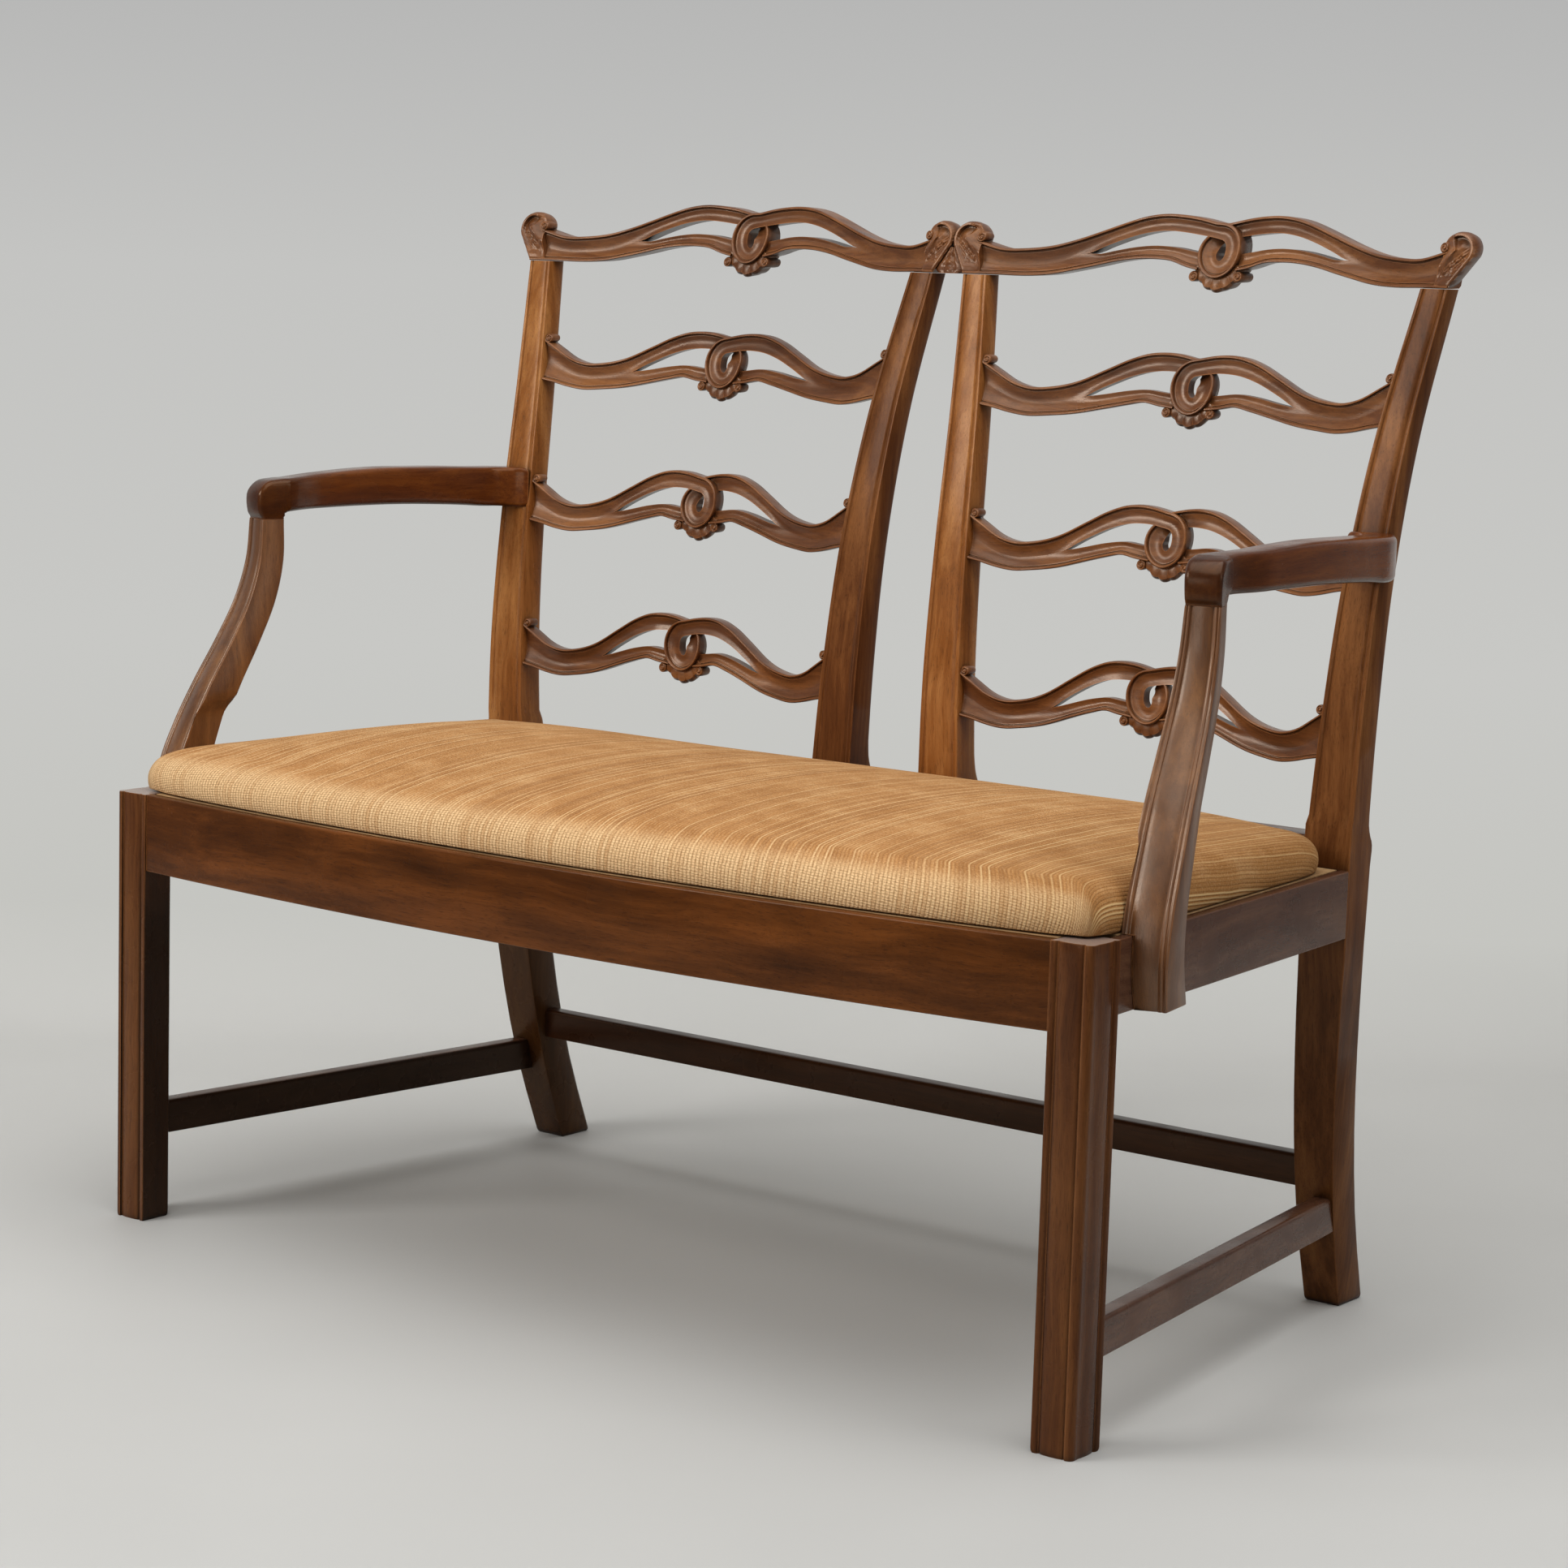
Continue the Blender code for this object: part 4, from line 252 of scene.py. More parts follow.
def front_rail_face(x):
    share = x / (HALF_WIDTH - LEG_WIDTH)
    return RAIL_SETBACK - FRONT_RAIL_BOW * (1 - share * share)


def post_share(height):
    return (height - SEAT_HEIGHT) / (POST_TOP - SEAT_HEIGHT)


def post_front(height):
    share = post_share(height)
    top_slope = (1 - eased(RAKE, 12 / 13)) * 13
    over = np.maximum(share - 1, 0)
    return SEAT_DEPTH + POST_RAKE * (eased(RAKE, share) + top_slope * over)


def post_half_spacing(height):
    return POST_SPACING + POST_SPLAY * eased(SPLAY, post_share(height))


def post_width(height):
    return blend(POST_WIDTH, POST_TOP_WIDTH, min(post_share(height), 1.0))


def post_depth(height):
    return blend(POST_DEPTH, POST_TOP_DEPTH, min(post_share(height), 1.0))


def outer_post_side(height):
    """The outer side of the right outer post, measured from the middle of the settee."""
    return CHAIR_CENTRE + float(post_half_spacing(height)) + post_width(height) / 2


def rear_leg_share(height):
    return min(height / (SEAT_HEIGHT - REAR_RAIL_HEIGHT), 1.0)


def rear_leg_front(height):
    return SEAT_DEPTH + REAR_FOOT_SWEEP * float(eased(SWEEP, 1 - rear_leg_share(height)))


def rear_leg_outer(height):
    return rear_half_width() - REAR_FOOT_CANT * (1 - rear_leg_share(height))


def rear_leg_width(height):
    return blend(REAR_FOOT_WIDTH, POST_WIDTH, rear_leg_share(height))


def rear_leg_depth(height):
    return blend(REAR_FOOT_DEPTH, REAR_LEG_DEPTH, rear_leg_share(height))


# Making meshes

def loft(rings):
    """Points and faces of a skin through rings of equally many points, capped at both ends."""
    rings = np.array(rings, float)
    count, size = rings.shape[:2]
    faces = []
    for here in range(0, size * (count - 1), size):
        after = here + size
        faces += [(here + point, here + (point + 1) % size, after + (point + 1) % size, after + point)
                  for point in range(size)]
    faces += [tuple(range(size)), tuple(range(size * (count - 1), size * count))]
    return rings.reshape(-1, 3), faces


def softened(corners, steps=3):
    """A closed outline whose corners, each given with its radius, are rounded off."""
    outline = []
    for index, (x, y, radius) in enumerate(corners):
        here = Vector((x, y))
        before = Vector(corners[index - 1][:2]) - here
        after = Vector(corners[(index + 1) % len(corners)][:2]) - here
        if not radius:
            outline.append((x, y))
            continue
        before.normalize()
        after.normalize()
        reach = radius / max(sin(before.angle(after) / 2), 0.2) * cos(before.angle(after) / 2)
        start, end = here + before * reach, here + after * reach
        for step in range(steps + 1):
            t = step / steps
            point = start * (1 - t) ** 2 + here * (2 * t * (1 - t)) + end * t * t
            outline.append((point.x, point.y))
    return outline


def mirrored(shapes):
    return [(points * (-1, 1, 1), faces) for points, faces in shapes]


def mapped(shapes, place):
    return [(np.array([place(*point) for point in points]), faces) for points, faces in shapes]


def meshed(name, points, faces, finish):
    """A smooth mesh in its finish."""
    mesh = bpy.data.meshes.new(name)
    mesh.from_pydata(points, [], faces)
    mesh.shade_smooth()
    mesh.materials.append(finish)
    return mesh


def placed(name, data):
    """An object in the scene for a mesh, a lamp or a camera."""
    thing = bpy.data.objects.new(name, data)
    bpy.context.scene.collection.objects.link(thing)
    return thing


def shown(name, shapes, finish, nodes, body="frame", crease=38):
    """A piece of the settee from its skins, standing in for the solids that it is named with."""
    points, faces = [], []
    for skin, skin_faces in shapes:
        faces += [tuple(len(points) + index for index in face) for face in skin_faces]
        points += [(x, y + FRONT_LINE, z) for x, y, z in skin]
    mesh = meshed(name, points, faces, finish)
    tidy = bmesh.new()
    tidy.from_mesh(mesh)
    bmesh.ops.recalc_face_normals(tidy, faces=tidy.faces[:])
    tidy.to_mesh(mesh)
    tidy.free()
    mesh.set_sharp_from_angle(angle=radians(crease))
    piece = placed(name, mesh)
    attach(piece, body)
    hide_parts(*nodes)
    return piece


# Finishes

def linear(colour):
    """A colour written as sRGB hex, in the renderer's linear light."""
    channels = [int(colour[start:start + 2], 16) / 255 for start in (1, 3, 5)]
    return (*[c / 12.92 if c <= 0.04045 else ((c + 0.055) / 1.055) ** 2.4 for c in channels], 1.0)


def add(tree, kind, links=None, stops=None, **settings):
    """Adds a node: settings by attribute, inputs by name or number, a ramp's stops.

    An input takes a value, an output, or a node, which stands for its first output."""
    made = tree.nodes.new("ShaderNode" + kind)
    for name, value in settings.items():
        setattr(made, name, value)
    for socket, value in (links or {}).items():
        if isinstance(value, bpy.types.Node):
            value = value.outputs[0]
        if isinstance(value, bpy.types.NodeSocket):
            tree.links.new(value, made.inputs[socket])
        else:
            made.inputs[socket].default_value = value
    for index, (place, colour) in enumerate(stops or ()):
        ramp_stops = made.color_ramp.elements
        stop = ramp_stops[index] if index < len(ramp_stops) else ramp_stops.new(place)
        stop.position = place
        stop.color = linear(colour)
    return made


def new_finish(name):
    finish = bpy.data.materials.new(name)
    finish.use_nodes = True
    finish.node_tree.nodes.clear()
    return finish, finish.node_tree


def surfaced(finish, inputs, relief=None, strength=0.0, depth=0.0):
    """Ends a finish with its shader, roughened by a relief that is so many metres deep."""
    tree = finish.node_tree
    if relief:
        inputs["Normal"] = add(tree, "Bump", {"Height": relief, "Strength": strength, "Distance": depth})
    add(tree, "OutputMaterial", {0: add(tree, "BsdfPrincipled", inputs)})
    return finish


BAND_SHARE = 0.80
STREAK_SHARE = 0.46
GRAIN_TURN = {"x": (0.0, radians(90), 0.0), "y": (radians(-90), 0.0, 0.0), "z": (0.0, 0.0, 0.0)}


def mahogany(name, along, colours, blotch, worn, gloss, shift=0.0, low=0.0, end_grain=None, polish=0.30,
             front_end_darkening=0.0, tint="#edc49a"):
    """Old mahogany, planed and French polished, then waxed for two centuries.

    The eye sees dark pores 0.4 mm wide and 8 mm long, growth streaks 3 to 5 mm apart, slow blotches where
    the figure turns, and arrises rubbed paler. Painted shade darkens the quirks and corners, where grime is
    held too, the wood below the seat and the faces that look down; an arm is darker toward its front end.
    Blotch and worn are strengths, as are low, for the painted shade below the seat on outer faces, and the
    strength of the darkening at an arm's front end; gloss is the roughness, and shift moves the figure along."""
    finish, tree = new_finish(name)
    place = add(tree, "TexCoord").outputs["Object"]
    turned = add(tree, "Mapping", {0: place, "Rotation": GRAIN_TURN[along], "Location": (shift, shift, 0)})
    wander = add(tree, "TexNoise", {"Vector": turned, "Scale": 7.0, "Detail": 2.0}).outputs["Color"]
    swayed = add(tree, "VectorMath", {0: wander, 1: (0.02, 0.02, 0.02)}, operation="MULTIPLY")
    grain = add(tree, "VectorMath", {0: turned, 1: swayed}, operation="ADD")
    streaks, bands, pores, blotches = [
        add(tree, "TexNoise", {"Vector": add(tree, "Mapping", {0: grain, "Scale": (1.0, 1.0, stretch)}),
                               "Scale": scale, "Detail": detail, "Roughness": roughness})
        for stretch, scale, detail, roughness in ((0.045, 260.0, 5.0, 0.62), (0.045, 55.0, 3.0, 0.5),
                                                  (0.05, 1500.0, 2.0, 0.5), (0.35, 16.0, 3.0, 0.55))]
    figure = 0.095
    for noise, share in ((bands, BAND_SHARE), (blotches, blotch), (streaks, STREAK_SHARE)):
        figure = add(tree, "Math", {0: noise, 1: share, 2: figure}, operation="MULTIPLY_ADD")
    level = add(tree, "Math", {0: figure, 1: 0.23 + 0.5 * blotch}, operation="SUBTRACT")
    wood = add(tree, "ValToRGB", {0: level}, zip((0.05, 0.45, 0.85), colours))
    pore = add(tree, "MapRange", {0: pores, 1: 0.30, 2: 0.44, 3: 0.45, 4: 0.0})

    # Arrises, found by comparing the true surface with a rounded one, are rubbed paler and redder
    rounded = add(tree, "Bevel", {"Radius": 0.0016}, samples=4)
    true = add(tree, "NewGeometry").outputs["Normal"]
    facing = add(tree, "VectorMath", {0: rounded, 1: true}, operation="DOT_PRODUCT").outputs["Value"]
    rub_noise = add(tree, "TexNoise", {"Vector": place, "Scale": 60.0, "Detail": 3.0})
    patchy = add(tree, "MapRange", {0: rub_noise, 1: 0.3, 2: 0.7, 3: 0.3, 4: 0.75})
    rub = add(tree, "MapRange", {0: facing, 1: 0.995, 2: 0.90, 3: 0.0, 4: 1.0})
    rub = add(tree, "Math", {0: rub, 1: patchy}, operation="MULTIPLY")
    rub = add(tree, "Math", {0: rub, 1: 1.5 * worn}, operation="MULTIPLY", use_clamp=True)

    # Painted shade where surfaces meet, found by ambient occlusion; grime gathers there too
    shut = add(tree, "AmbientOcclusion", {"Distance": 0.012}, samples=4).outputs["AO"]
    corner_shade_and_grime = add(tree, "MapRange", {0: shut, 1: 0.30, 2: 0.82, 3: 0.72, 4: 0.0})

    # Painted shade below the seat: darker toward the floor, darkest on the inner faces
    spot = add(tree, "SeparateXYZ", {0: place}).outputs
    turned_to = add(tree, "SeparateXYZ", {0: true}).outputs
    inward = add(tree, "Math", {0: spot[0], 1: turned_to[0]}, operation="MULTIPLY")
    inner = add(tree, "MapRange", {0: inward, 1: -0.08, 2: -0.35, 3: low, 4: 0.86})
    below = add(tree, "MapRange", {0: spot[2], 1: 0.30, 2: 0.41, 3: 1.0, 4: 0.0})
    under_seat_shade = add(tree, "Math", {0: inner, 1: below}, operation="MULTIPLY")
    # Painted shade on the faces that look downward
    down = add(tree, "MapRange", {0: turned_to[2], 1: -0.25, 2: -0.75, 3: 0.0, 4: 0.75})

    # An arm is darker toward its front end, and a leg's top shows its sawn end grain
    held = add(tree, "MapRange", {0: spot[1], 1: FRONT_LINE + 0.19, 2: FRONT_LINE + 0.26, 3: front_end_darkening, 4: 0.0})
    sawn = add(tree, "MapRange", {0: turned_to[2], 1: 0.6, 2: 0.9, 3: 0.0, 4: 0.75})
    # Mixed over the wood: pores and rubbed arrises, painted shade in the corners, below the seat and on
    # downward faces, a darker arm front, and the legs' end grain
    coats = [(pore, "#1c0d06"), (rub, "#9a6238"), (corner_shade_and_grime, "#1f120b"), (under_seat_shade, "#120804"), (down, "#120804")]
    coats += [(held, "#170b07")] * bool(front_end_darkening) + [(sawn, end_grain)] * bool(end_grain)
    for share, colour in coats:
        wood = add(tree, "Mix", {0: share, 6: wood, 7: linear(colour)}, data_type="RGBA").outputs[2]

    smears = add(tree, "TexNoise", {"Vector": place, "Scale": 22.0, "Detail": 4.0})
    dullness = add(tree, "MapRange", {0: smears, 1: 0.3, 2: 0.7, 3: gloss - 0.07, 4: gloss + 0.10})
    dents = add(tree, "TexNoise", {"Vector": place, "Scale": 110.0, "Detail": 2.0})
    relief = add(tree, "Math", {0: streaks, 1: pore}, operation="SUBTRACT")
    relief = add(tree, "Math", {0: dents, 1: 1.2, 2: relief}, operation="MULTIPLY_ADD")
    return surfaced(finish, {"Base Color": wood, "Roughness": dullness, "IOR": 1.5,
                             "Specular IOR Level": polish, "Specular Tint": linear(tint),
                             "Coat Weight": 0.08, "Coat Roughness": 0.16}, relief, 0.22, 0.0004)


def plain_wood(name, along, dark, light, roughness):
    """Beech and other wood that was only sawn and planed: dry, open, with fine flecks."""
    finish, tree = new_finish(name)
    place = add(tree, "TexCoord").outputs["Object"]
    turned = add(tree, "Mapping", {0: place, "Rotation": GRAIN_TURN[along]})
    space = add(tree, "Mapping", {0: turned, "Scale": (1.0, 1.0, 0.05)})
    streaks = add(tree, "TexNoise", {"Vector": space, "Scale": 320.0, "Detail": 5.0})
    stains = add(tree, "TexNoise", {"Vector": place, "Scale": 14.0, "Detail": 3.0})
    both = add(tree, "Math", {0: streaks, 1: stains}, operation="MULTIPLY")
    wood = add(tree, "ValToRGB", {0: both}, ((0.12, dark), (0.36, light)))
    return surfaced(finish, {"Base Color": wood, "Roughness": roughness}, streaks, 0.3, 0.0005)


def webbing_jute():
    """Jute yarn woven plain: 2 mm yarns, drawn at their true spacing, dull and hairy."""
    finish, tree = new_finish("woven_jute")
    place = add(tree, "TexCoord").outputs["Object"]
    woven = 1.0
    for axis in ((1.0, 0.0, 0.0), (0.0, 1.0, 0.0)):
        along = add(tree, "VectorMath", {0: place, 1: axis}, operation="DOT_PRODUCT").outputs["Value"]
        turn = add(tree, "Math", {0: along, 1: 2 * pi / YARN_PITCH}, operation="MULTIPLY")
        wave = add(tree, "Math", {0: turn}, operation="SINE")
        woven = add(tree, "Math", {0: wave, 1: woven}, operation="MULTIPLY")
    fuzz = add(tree, "TexNoise", {"Vector": place, "Scale": 900.0, "Detail": 3.0})
    relief = add(tree, "Math", {0: woven, 1: 0.35, 2: fuzz}, operation="MULTIPLY_ADD")
    jute = add(tree, "ValToRGB", {0: relief}, ((0.1, "#6f5532"), (0.8, "#b08f5c")))
    return surfaced(finish, {"Base Color": jute, "Roughness": 0.92}, relief, 0.6, 0.0008)


def old_steel():
    """Bright wood-screw steel gone dull and brown in spots."""
    finish, tree = new_finish("old_screw_steel")
    place = add(tree, "TexCoord").outputs["Object"]
    spots = add(tree, "TexNoise", {"Vector": place, "Scale": 700.0, "Detail": 4.0})
    steel = add(tree, "ValToRGB", {0: spots}, ((0.35, "#4c3c30"), (0.6, "#8a8783")))
    rough = add(tree, "MapRange", {0: spots, 3: 0.55, 4: 0.35})
    return surfaced(finish, {"Base Color": steel, "Metallic": 1.0, "Roughness": rough})


def ribbed_velvet():
    """Ribbed cotton velvet, cut pile woven over a cream ground: stripes run from front to back.

    The eye sees columns 3.7 mm wide, some of them pale or dark, under a honey-brown pile rubbed in patches.
    Where the cloth turns over at the front the pile opens and shows cream cross ribs 2.4 mm apart, made paler
    still by painted light on the front. The turned sides and the right end are painted in shade."""
    finish, tree = new_finish("ribbed_velvet")
    cloth = add(tree, "UVMap", uv_map="weave")
    bent, sides = [add(tree, "Attribute", attribute_name=name).outputs["Fac"]
                   for name in ("bent_over", "turned_side")]
    across, down = add(tree, "SeparateXYZ", {0: cloth}).outputs[:2]
    wobble = add(tree, "TexNoise", {"Vector": cloth, "Scale": 11.0, "Detail": 2.0})
    drift = add(tree, "Math", {0: wobble, 1: 0.007, 2: across}, operation="MULTIPLY_ADD")
    columns = add(tree, "Math", {0: drift, 1: 1 / VELVET_COLUMN}, operation="MULTIPLY")
    which = add(tree, "Math", {0: columns}, operation="FLOOR")
    chance = add(tree, "TexWhiteNoise", {"W": which}, noise_dimensions="1D")
    rows = add(tree, "Math", {0: down, 1: 1 / VELVET_RIB}, operation="MULTIPLY")
    swell, rib = [add(tree, "Math", {0: run, 1: 0.5}, operation="PINGPONG") for run in (columns, rows)]
    round_top, ribs = [add(tree, "MapRange", {0: run, 1: 0.0, 2: full}, interpolation_type="SMOOTHSTEP")
                       for run, full in ((swell, 0.32), (rib, 0.22))]
    tufts, patches = [
        add(tree, "TexNoise", {"Vector": cloth, "Scale": scale, "Detail": detail, "Roughness": roughness})
        for scale, detail, roughness in ((520.0, 3.0, 0.7), (22.0, 6.0, 0.68))]

    # How much of each shows: pale and deep columns, the valleys between as painted shade, dark tufts, and
    # tufts that catch light as a painted glint
    pale, deep, thread, valley_shade, rib_line, gap_depth, tuft, glint = [
        add(tree, "MapRange", {0: source, 1: low, 2: high, 3: at_low, 4: at_high})
        for source, low, high, at_low, at_high in (
            (chance, 0.60, 0.95, 0.0, 1.0), (chance, 0.0, 0.30, 1.0, 0.0), (swell, 0.20, 0.42, 0.0, 0.85),
            (round_top, 0.0, 1.0, 0.42, 0.0), (ribs, 0.0, 1.0, 0.45, 1.0), (bent, 0.0, 1.0, 0.14, 0.62),
            (tufts, 0.32, 0.52, 0.62, 0.0), (tufts, 0.54, 0.72, 0.0, 0.45))]
    # The pile opened on the front roll shows cream, made paler still as painted light on the front
    lit, low, opened_pile_and_front_light, bent_deep, between, shade, risen = [
        add(tree, "Math", {0: one, 1: other}, operation="MULTIPLY")
        for one, other in ((pale, thread), (deep, 0.48), (bent, 0.88), (deep, bent), (rib_line, round_top),
                           (sides, 0.40), (ribs, bent))]
    gap = add(tree, "MapRange", {0: between, 3: 1.0, 4: 0.0})
    # Painted sheen: the pale lines show brighter on the turned sides and the right end
    stained, gap, side_sheen_on_pale_lines = [add(tree, "Math", {0: one, 1: other}, operation="MULTIPLY")
                             for one, other in ((bent_deep, 0.42), (gap, gap_depth), (lit, sides))]
    pile = add(tree, "ValToRGB", {0: patches}, ((0.32, "#ad743c"), (0.52, "#c58d54"), (0.70, "#dcab74")))
    # Mixed over the pile: painted shade in the valleys, on the sides and at the right end, painted light on
    # the front roll, a painted glint on tufts
    for share, colour in ((lit, "#edc691"), (low, "#8a572b"), (valley_shade, "#935c2c"), (opened_pile_and_front_light, "#ffd7a2"),
                          (stained, "#c98f55"), (gap, "#a06c34"), (tuft, "#8c5a2c"), (glint, "#f6d6a6"),
                          (shade, "#8a5c26"), (side_sheen_on_pale_lines, "#e9c48a")):
        pile = add(tree, "Mix", {0: share, 6: pile, 7: linear(colour)}, data_type="RGBA").outputs[2]
    relief = add(tree, "Math", {0: round_top, 1: 0.7, 2: risen}, operation="MULTIPLY_ADD")
    relief = add(tree, "Math", {0: tufts, 1: 1.2, 2: relief}, operation="MULTIPLY_ADD")
    return surfaced(finish, {"Base Color": pile, "Roughness": 0.9, "Specular IOR Level": 0.2,
                             "Sheen Weight": 0.25, "Sheen Roughness": 0.4,
                             "Sheen Tint": linear("#f2cf9a")}, relief, 0.7, 0.0008)


# Legs, posts and rails

def leg_section():
    """The reeded section of the right front leg: two moulded outer faces, a corner reed, a chamfer."""
    face = ((0.0, 0.0006), (0.0007, 0.0), (0.0042, 0.0), (0.0052, 0.0007), (0.0062, 0.0020),
            (0.0070, 0.0021), (0.0080, 0.0011), (0.0105, 0.0006), (0.0150, 0.0001), (0.0195, 0.0),
            (0.0245, 0.0002), (0.0282, 0.0007), (0.0302, 0.0011), (0.0311, 0.0021), (0.0322, 0.0021),
            (0.0332, 0.0012))
    reed = 0.0056
    front = [(x, depth) for x, depth in face if x < LEG_WIDTH - reed - 0.001]
    centre_x, centre_y = LEG_WIDTH - reed, reed
    corner = [(centre_x + reed * sin(turn), centre_y - reed * cos(turn))
              for turn in np.linspace(-0.25, pi / 2 + 0.25, 9)]
    scale = LEG_DEPTH / LEG_WIDTH
    side = [(LEG_WIDTH - depth, LEG_DEPTH - x * scale) for x, depth in reversed(face)
            if LEG_DEPTH - x * scale > 2 * reed * 0.95]
    back = [(LEG_WIDTH - 0.0006, LEG_DEPTH), (LEG_CHAMFER, LEG_DEPTH), (0.0, LEG_DEPTH - LEG_CHAMFER)]
    return front + corner + side + back


def front_leg():
    """A front leg from a foot with its arris worn off to the sawn end grain at the top."""
    outline = leg_section()
    middle = np.mean(outline, axis=0)
    full_heights = (0.004, 0.012, 0.10, 0.22, 0.34, 0.415, SEAT_HEIGHT - 0.0012)
    heights = [(0.0, 0.955), (0.0018, 0.992), *((height, 1.0) for height in full_heights),
               (SEAT_HEIGHT, 0.975)]
    inner = HALF_WIDTH - LEG_WIDTH
    return [loft([[(inner + blend(middle[0], x, shrink), blend(middle[1], y, shrink), height)
                   for x, y in outline] for height, shrink in heights])]


def post_section(centre, front, width, depth, back_round, quirk, height):
    """A post across: an edge fillet, a quirk and a slightly rounded middle in front, rounded behind."""
    half = width / 2
    front_half = ((1.0, 0.0008), (0.975, 0.0001), (0.95, 0.0), (0.82, 0.0), (0.785, 0.0004), (0.75, 0.0014),
                  (0.715, 0.0013), (0.68, 0.0007), (0.55, 0.0003), (0.3, 0.0001), (0.0, 0.0))
    near = [(-half * share, cut * quirk if share < 0.9 else cut) for share, cut in front_half]
    near += [(-x, y) for x, y in reversed(near[:-1])]
    ring = [(centre + x, front + y, height) for x, y in near]
    for side, first, last in ((1, 0, pi / 2), (-1, pi / 2, 0)):
        ring += [(centre + side * (half - back_round + back_round * cos(turn)),
                  front + depth - back_round + back_round * sin(turn), height)
                 for turn in np.linspace(first, last, 6)]
    return ring


def post_sections(side, lowest):
    return [post_section(CHAIR_CENTRE + side * float(post_half_spacing(height)), float(post_front(height)),
                         post_width(height), post_depth(height), POST_BACK_ROUND, 1.0, height)
            for height in np.linspace(lowest, POST_TOP, 30)]


def outer_post():
    """The right chair's outer post and its swept rear leg, sawn from one plank."""
    rings = []
    for height in (0.0, 0.0016, 0.004, 0.02, 0.05, 0.09, 0.13, 0.17, 0.21, 0.25, 0.29, 0.325, 0.352):
        shrink = 0.0016 if height == 0.0 else 0.0004 if height < 0.003 else 0.0
        width = rear_leg_width(height) - 2 * shrink
        centre = rear_leg_outer(height) - shrink - width / 2
        rings.append(post_section(centre, rear_leg_front(height) + shrink, width,
                                  rear_leg_depth(height) - 2 * shrink, REAR_LEG_ROUND, 0.0, height))
    shoulder = SEAT_HEIGHT + SHOULDER_RISE
    centre = CHAIR_CENTRE + POST_SPACING
    for height, depth in ((0.372, 0.0412), (0.395, 0.0424), (SEAT_HEIGHT, 0.0437), (shoulder - 0.007, 0.0450),
                          (shoulder - 0.002, 0.0448), (shoulder + 0.002, 0.0434), (shoulder + 0.006, 0.0408),
                          (shoulder + 0.011, 0.0384), (shoulder + 0.017, 0.0366)):
        near = max(SEAT_DEPTH, float(post_front(height))) if height > SEAT_HEIGHT else SEAT_DEPTH
        rings.append(post_section(centre, near, POST_WIDTH, depth, REAR_LEG_ROUND, 0.0, height))
    return [loft(rings + post_sections(1, shoulder + 0.026))]


def inner_post():
    """The right chair's inner post, which spreads backwards a little where it stands on the rear rail."""
    foot = SEAT_HEIGHT + REAR_RAIL_RISE + FIT
    rings = []
    for height in (foot, foot + 0.004, foot + 0.009, foot + 0.015, foot + 0.022):
        spread = 0.007 * (1 - (height - foot) / 0.024) ** 2
        rings.append(post_section(CHAIR_CENTRE - float(post_half_spacing(height)), float(post_front(height)),
                                  post_width(height), post_depth(height) + spread, REAR_LEG_ROUND, 1.0,
                                  height))
    return [loft(rings + post_sections(-1, foot + 0.030))]


def rebated(tall, thickness, worn_top):
    """A seat rail across, as distance in from its face and height: the seat drops into its rebate."""
    bottom, floor = SEAT_HEIGHT - tall, SEAT_HEIGHT - REBATE_DEPTH
    return softened(((0.0, bottom, 0.0012), (0.0, SEAT_HEIGHT, worn_top), (REBATE_LIP, SEAT_HEIGHT, 0.0010),
                     (REBATE_LIP, floor, 0.0), (thickness, floor, 0.0006), (thickness, bottom, 0.0010)))


def front_rail():
    half = HALF_WIDTH - LEG_WIDTH - FIT
    section = rebated(FRONT_RAIL_HEIGHT, FRONT_RAIL_THICKNESS, 0.0022)
    return [loft([[(x, front_rail_face(x) + inward, height) for inward, height in section]
                  for x in np.linspace(-half, half, 49)])]


def side_rail():
    section = rebated(SIDE_RAIL_HEIGHT, SIDE_RAIL_THICKNESS, 0.0020)
    return [loft([[(side_rail_face(y) - inward, y, height) for inward, height in section]
                  for y in np.linspace(LEG_DEPTH + FIT, SEAT_DEPTH - FIT, 12)])]


def rear_rail():
    """The rear rail, higher than the others, with an easing on its top edges."""
    near = SEAT_DEPTH + (POST_DEPTH - REAR_RAIL_THICKNESS) / 2
    half = rear_half_width() - POST_WIDTH - FIT
    top, bottom = SEAT_HEIGHT + REAR_RAIL_RISE, SEAT_HEIGHT - REAR_RAIL_HEIGHT
    far = near + REAR_RAIL_THICKNESS
    section = softened(((near, bottom, 0.0012), (near, top, 0.0025),
                        (far, top, 0.0025), (far, bottom, 0.0012)))
    return [loft([[(x, y, height) for y, height in section] for x in np.linspace(-half, half, 41)])]


def bar_section(middle, level, tall):
    half = STRETCHER_THICKNESS / 2
    return softened(((middle - half, level - tall / 2, 0.0010), (middle - half, level + tall / 2, 0.0040),
                     (middle + half, level + tall / 2, 0.0040), (middle + half, level - tall / 2, 0.0010)), 4)


def side_stretcher():
    level, tall = SIDE_STRETCHER
    rear = rear_leg_front(level)
    rings = []
    for share in np.linspace(0, 1, 15):
        outer = blend(HALF_WIDTH, rear_leg_outer(level), share) - STRETCHER_INSET
        y = blend(LEG_DEPTH + FIT, rear, share)
        rings.append([(x, y + (rear_leg_front(height) - FIT - rear) * share, height)
                      for x, height in bar_section(outer - STRETCHER_THICKNESS / 2, level, tall)])
    return [loft(rings)]


def rear_stretcher():
    level, tall = REAR_STRETCHER
    middle = rear_leg_front(level) + rear_leg_depth(level) / 2
    return [loft([[(share * (rear_leg_outer(height) - rear_leg_width(height) - FIT), y, height)
                   for y, height in bar_section(middle, level, tall)] for share in np.linspace(-1, 1, 41)])]


# Arm supports and arms

